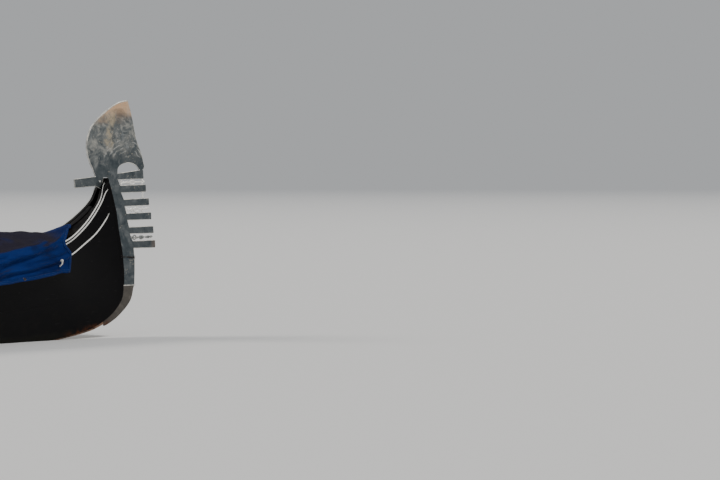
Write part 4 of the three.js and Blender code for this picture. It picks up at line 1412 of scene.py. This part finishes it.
def border(rows):
    """(point, direction inward, direction out of the cloth) round the edge of the cover."""
    last = len(rows) - 1
    wide = len(rows[0]) - 1
    places = [((i, 0), (i, 1)) for i in range(last, 0, -1)]
    places += [((0, j), (1, j)) for j in range(wide)]
    places += [((i, wide), (i, wide - 1)) for i in range(last)]
    places += [((last, j), (last - 1, j)) for j in range(wide, 0, -1)]
    found = []
    for (i, j), (inner_i, inner_j) in places:
        normal = outward_at(rows, i, j)
        inward = (rows[inner_i][inner_j] - rows[i][j]).normalized()
        found.append((rows[i][j], (inward - normal * inward.dot(normal)).normalized(), normal))
    return found


def link_cloth(name, skin):
    """Adds a doubled piece of cloth, with its weave laid by its place."""
    mesh = skin.mesh(name)
    layer = mesh.uv_layers.new(name="cloth")
    for loop in mesh.loops:
        place = mesh.vertices[loop.vertex_index].co
        layer.data[loop.index].uv = (place.x, place.y + place.z)
    return link(name, mesh, HEM_CANVAS)


# Profiles across the hem and a seam: reach, lift over the cloth.
HEM_PROFILE = [(-1.5, -2.2), (-2.2, 0), (-1.5, 2.2), (12, 3.0), (24, 2.4), (24, -1.5)]
SEAM_PROFILE = [(-11, -0.5), (-11, 2.0), (0, 2.8), (11, 2.0), (11, -0.5)]
SEAM_XS = [-1900, -3350, -4800, -6250]


def make_hem(rows):
    """A doubled edge of cloth round the cover, laid over its outer face."""
    rings = []
    for here, inward, normal in border(rows):
        rings.append(placed([here + inward * reach + normal * lift for reach, lift in HEM_PROFILE]))
    return link_cloth("rain_cover_hem", Skin().add(rings, closed=True))


def make_seams(rows):
    """Lapped seams where the cover's panels are sewn together."""
    skin = Skin()
    for seam_x in SEAM_XS:
        i = min(range(len(rows)), key=lambda row: abs(rows[row][SKIRT_COLUMNS].x - seam_x))
        rings = []
        for j, here in enumerate(rows[i]):
            normal = outward_at(rows, i, j)
            along = (rows[i + 1][j] - rows[i - 1][j]).normalized()
            rings.append(placed([here + along * reach + normal * lift for reach, lift in SEAM_PROFILE]))
        skin.add(rings)
    return link_cloth("rain_cover_seams", skin)


STITCH_PITCH = 13.0
STITCH_LOW = -0.6
# A stitch: along it, half width, height.
STITCH_PROFILE = [(0, 0.4, 0.5), (4, 1, 1.3), (8, 0.4, 0.5)]
STITCH_LINES = (7.0, 17.0)
STITCH_LIFT = 2.9


def make_stitches(rows):
    """Two lines of raised stitches along the hem."""
    skin = Skin()
    edge = border(rows)
    for reach in STITCH_LINES:
        line = [(here + inward * reach + normal * STITCH_LIFT, normal) for here, inward, normal in edge]
        travelled = 0.0
        for (a, out), (b, _) in zip(line, line[1:]):
            length = (b - a).length
            if length < 1e-6:
                continue
            ahead = (b - a) / length
            across = out.cross(ahead)
            at = (-travelled) % STITCH_PITCH
            while at < length:
                rings = []
                for along, half, high in STITCH_PROFILE:
                    middle = a + ahead * (at + along)
                    corners = [(-half, STITCH_LOW), (half, STITCH_LOW), (half, high), (-half, high)]
                    rings.append(placed([middle + across * aside + out * lift for aside, lift in corners]))
                skin.add(rings)
                at += STITCH_PITCH
            travelled += length
    return link("hem_stitches", skin.mesh("hem_stitches", smooth=False), THREAD)


GROMMET_FIRST = 420.0
GROMMET_PITCH = 620
GROMMET_INSET = 12.5
GROMMET_LIFT = 3.0
GROMMET_RADIUS = 7.5
GROMMET_WIRE = 2.6
GROMMET_FLAT = 0.7
GROMMET_STEPS = 20
GROMMET_AROUND = 8
# The dark dome in each grommet stands in for its hole: painted shade.
GROMMET_HOLE = 0.0062
HOLE_HIGH = 0.0006
HOLE_SUNK = 0.2
# A direction that no grommet faces; its corners are counted from there.
GROMMET_START = Vector((0.9, 0.1, 0.3))


def make_grommets(rows):
    """Brass grommets along both skirts, each round a dark dome that stands in for its hole: the black hull
    behind and painted shade.
    """
    skin = Skin()
    hole_shades = []
    wide = len(rows[0]) - 1
    for edge, inner in [(0, 1), (wide, wide - 1)]:
        travelled = 0.0
        target = GROMMET_FIRST
        for i in range(1, len(rows) - 1):
            travelled += (rows[i][edge] - rows[i - 1][edge]).length
            if travelled < target:
                continue
            target += GROMMET_PITCH
            out = outward_at(rows, i, edge)
            inward = (rows[i][inner] - rows[i][edge]).normalized()
            centre = rows[i][edge] + inward * GROMMET_INSET + out * GROMMET_LIFT
            across = out.cross(GROMMET_START).normalized()
            third = out.cross(across)
            rings = []
            for angle in turns(GROMMET_STEPS):
                spoke = math.cos(angle) * across + math.sin(angle) * third
                middle = centre + spoke * GROMMET_RADIUS
                rings.append(placed(circle(middle, spoke, out * GROMMET_FLAT, GROMMET_WIRE, GROMMET_AROUND)))
            skin.add(rings, closed=True)
            hole_shades.append((row_frame(*(centre - out * HOLE_SUNK)), out))
    brass_rings = link("cover_grommets", skin.mesh("cover_grommets"), BRASS_METAL)
    return brass_rings, domes("cover_grommet_hole_shades", hole_shades, GROMMET_HOLE, HOLE_HIGH, WIRE)


# White ties at the front of the cover. Their places are from the middle of the CAD tie, in metres.

TIE_CORD_DIAMETER = 0.0080
TIE_KNOT = (0.009, 0.011)
TIE_KNOT_OUT = 0.004
TIE_FALL = (-0.019, -0.036)
TIE_BULGE = 0.0135
TIE_STEPS = 15
# Where the tail leaves the knot's middle: forward, out from the cloth and up.
TAIL_START = (0.001, 0.003, 0.002)
KNOT_SIZE = 3.0
KNOT_NARROW = 0.85
KNOT_TIGHT = 0.95
KNOT_STEPS = 72
KNOT_AROUND = 10


def knot_rings(centre):
    """Rings of an overhand knot, closed on itself."""
    points = []
    for a in turns(KNOT_STEPS):
        u = math.sin(a) + 2 * math.sin(2 * a)
        v = math.cos(a) - 2 * math.cos(2 * a)
        points.append(centre + Vector((u * KNOT_NARROW, -math.sin(3 * a), v)) * KNOT_SIZE * MM)
    rings = []
    for i, point in enumerate(points):
        ahead = (points[(i + 1) % KNOT_STEPS] - points[i - 1]).normalized()
        across = ahead.cross(Vector((0, 1, 0)))
        across = across.normalized() if across.length > 1e-4 else ahead.orthogonal().normalized()
        radius = TIE_CORD_DIAMETER / 2 * KNOT_TIGHT
        rings.append(circle(point, across, ahead.cross(across), radius, KNOT_AROUND))
    return rings


def make_ties():
    """Each side a white cord out of a grommet, knotted against the cloth, with its tail hanging."""
    for side, word in SIDES:
        low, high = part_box("cover_tie_" + word)
        middle = (low + high) / 2
        face = high.y if side < 0 else low.y
        centre = Vector((middle.x + TIE_KNOT[0], face + side * TIE_KNOT_OUT, middle.z + TIE_KNOT[1]))
        knot_mesh = Skin().add(knot_rings(centre), closed=True).mesh("tie_knot")
        knot = link("tie_knot_" + word, knot_mesh, CORD)
        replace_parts(knot, "cover_tie_" + word)
        start = centre + Vector((TAIL_START[0], side * TAIL_START[1], TAIL_START[2]))
        path = []
        for k in range(TIE_STEPS + 1):
            share = k / TIE_STEPS
            stand = TIE_BULGE * math.sin(math.pi * share)
            path.append(start + Vector((TIE_FALL[0] * share, side * stand, TIE_FALL[1] * share)))
        data = bpy.data.curves.new("tie_tail_" + word, "CURVE")
        data.dimensions = "3D"
        spline = data.splines.new("POLY")
        spline.points.add(TIE_STEPS)
        for point, place in zip(spline.points, path):
            point.co = (*place, 1)
        data.bevel_depth = TIE_CORD_DIAMETER / 2
        data.bevel_resolution = 3
        data.use_fill_caps = True
        link("tie_tail_" + word, data, CORD)


# Stage.

FLOOR_REACH = 300.0
FLOOR_PLAIN = 8.0
FLOOR_FADED = 150.0
FLOOR_COLOUR = (0.74, 0.745, 0.75, 1)
STUDIO = (0.60, 0.615, 0.63, 1)
STUDIO_SEEN = 0.70
STUDIO_FILL = 0.30
# Soft suns: direction round from +X towards +Y and up, strength, spread, colour.
SUNS = {
    "key": (-62, 52, 2.1, 16, (1.0, 0.98, 0.95)),
    "back": (130, 42, 1.3, 25, (1.0, 0.95, 0.88)),
    "fill": (-150, 55, 0.3, 60, (0.92, 0.96, 1.0)),
}


def make_floor():
    """A pale floor at the waterline that fades into the studio's backdrop colour far from the boat."""
    corners = [(x * FLOOR_REACH, y * FLOOR_REACH, WATERLINE) for x, y in [(-1, -1), (1, -1), (1, 1), (-1, 1)]]
    mesh = mesh_of("floor", corners, [(0, 1, 2, 3)], smooth=False)
    floor = add_object("floor", mesh)
    f = Finish("floor", Base_Color=FLOOR_COLOUR, Roughness=0.9)
    clear = f.node("ShaderNodeBsdfTransparent", {}).outputs[0]
    far = f.band(f.length(f.place), FLOOR_PLAIN, FLOOR_FADED)
    fade = f.node("ShaderNodeMixShader", {0: far, 1: f.shader.outputs[0], 2: clear})
    f.feed(f.tree.nodes["Material Output"].inputs["Surface"], fade.outputs[0])
    mesh.materials.append(f.material)


def make_studio():
    """The backdrop, with one level for the camera and a lower one for its light."""
    world = bpy.data.worlds.new("studio")
    bpy.context.scene.world = world
    world.use_nodes = True
    nodes = world.node_tree.nodes
    links = world.node_tree.links
    back = nodes["Background"]
    back.inputs["Color"].default_value = STUDIO
    ray = nodes.new("ShaderNodeLightPath")
    level = nodes.new("ShaderNodeMix")
    level.inputs[2].default_value = STUDIO_FILL
    level.inputs[3].default_value = STUDIO_SEEN
    links.new(ray.outputs["Is Camera Ray"], level.inputs[0])
    links.new(level.outputs[0], back.inputs["Strength"])


def make_suns():
    for name, (azimuth, elevation, strength, spread, colour) in SUNS.items():
        data = bpy.data.lights.new(name, "SUN")
        data.energy = strength
        data.color = colour
        data.angle = math.radians(spread)
        a, e = math.radians(azimuth), math.radians(elevation)
        source = Vector((math.cos(a) * math.cos(e), math.sin(a) * math.cos(e), math.sin(e)))
        add_object(name, data).rotation_euler = source.to_track_quat("Z", "Y").to_euler()


make_camera()
make_ties()
finish_cad_nodes()
make_beads()
make_head_rim()
make_castings()
make_wire_tie()
make_bow_fittings()
make_crutch()
make_footboard()
make_cover()
make_floor()
make_studio()
make_suns()
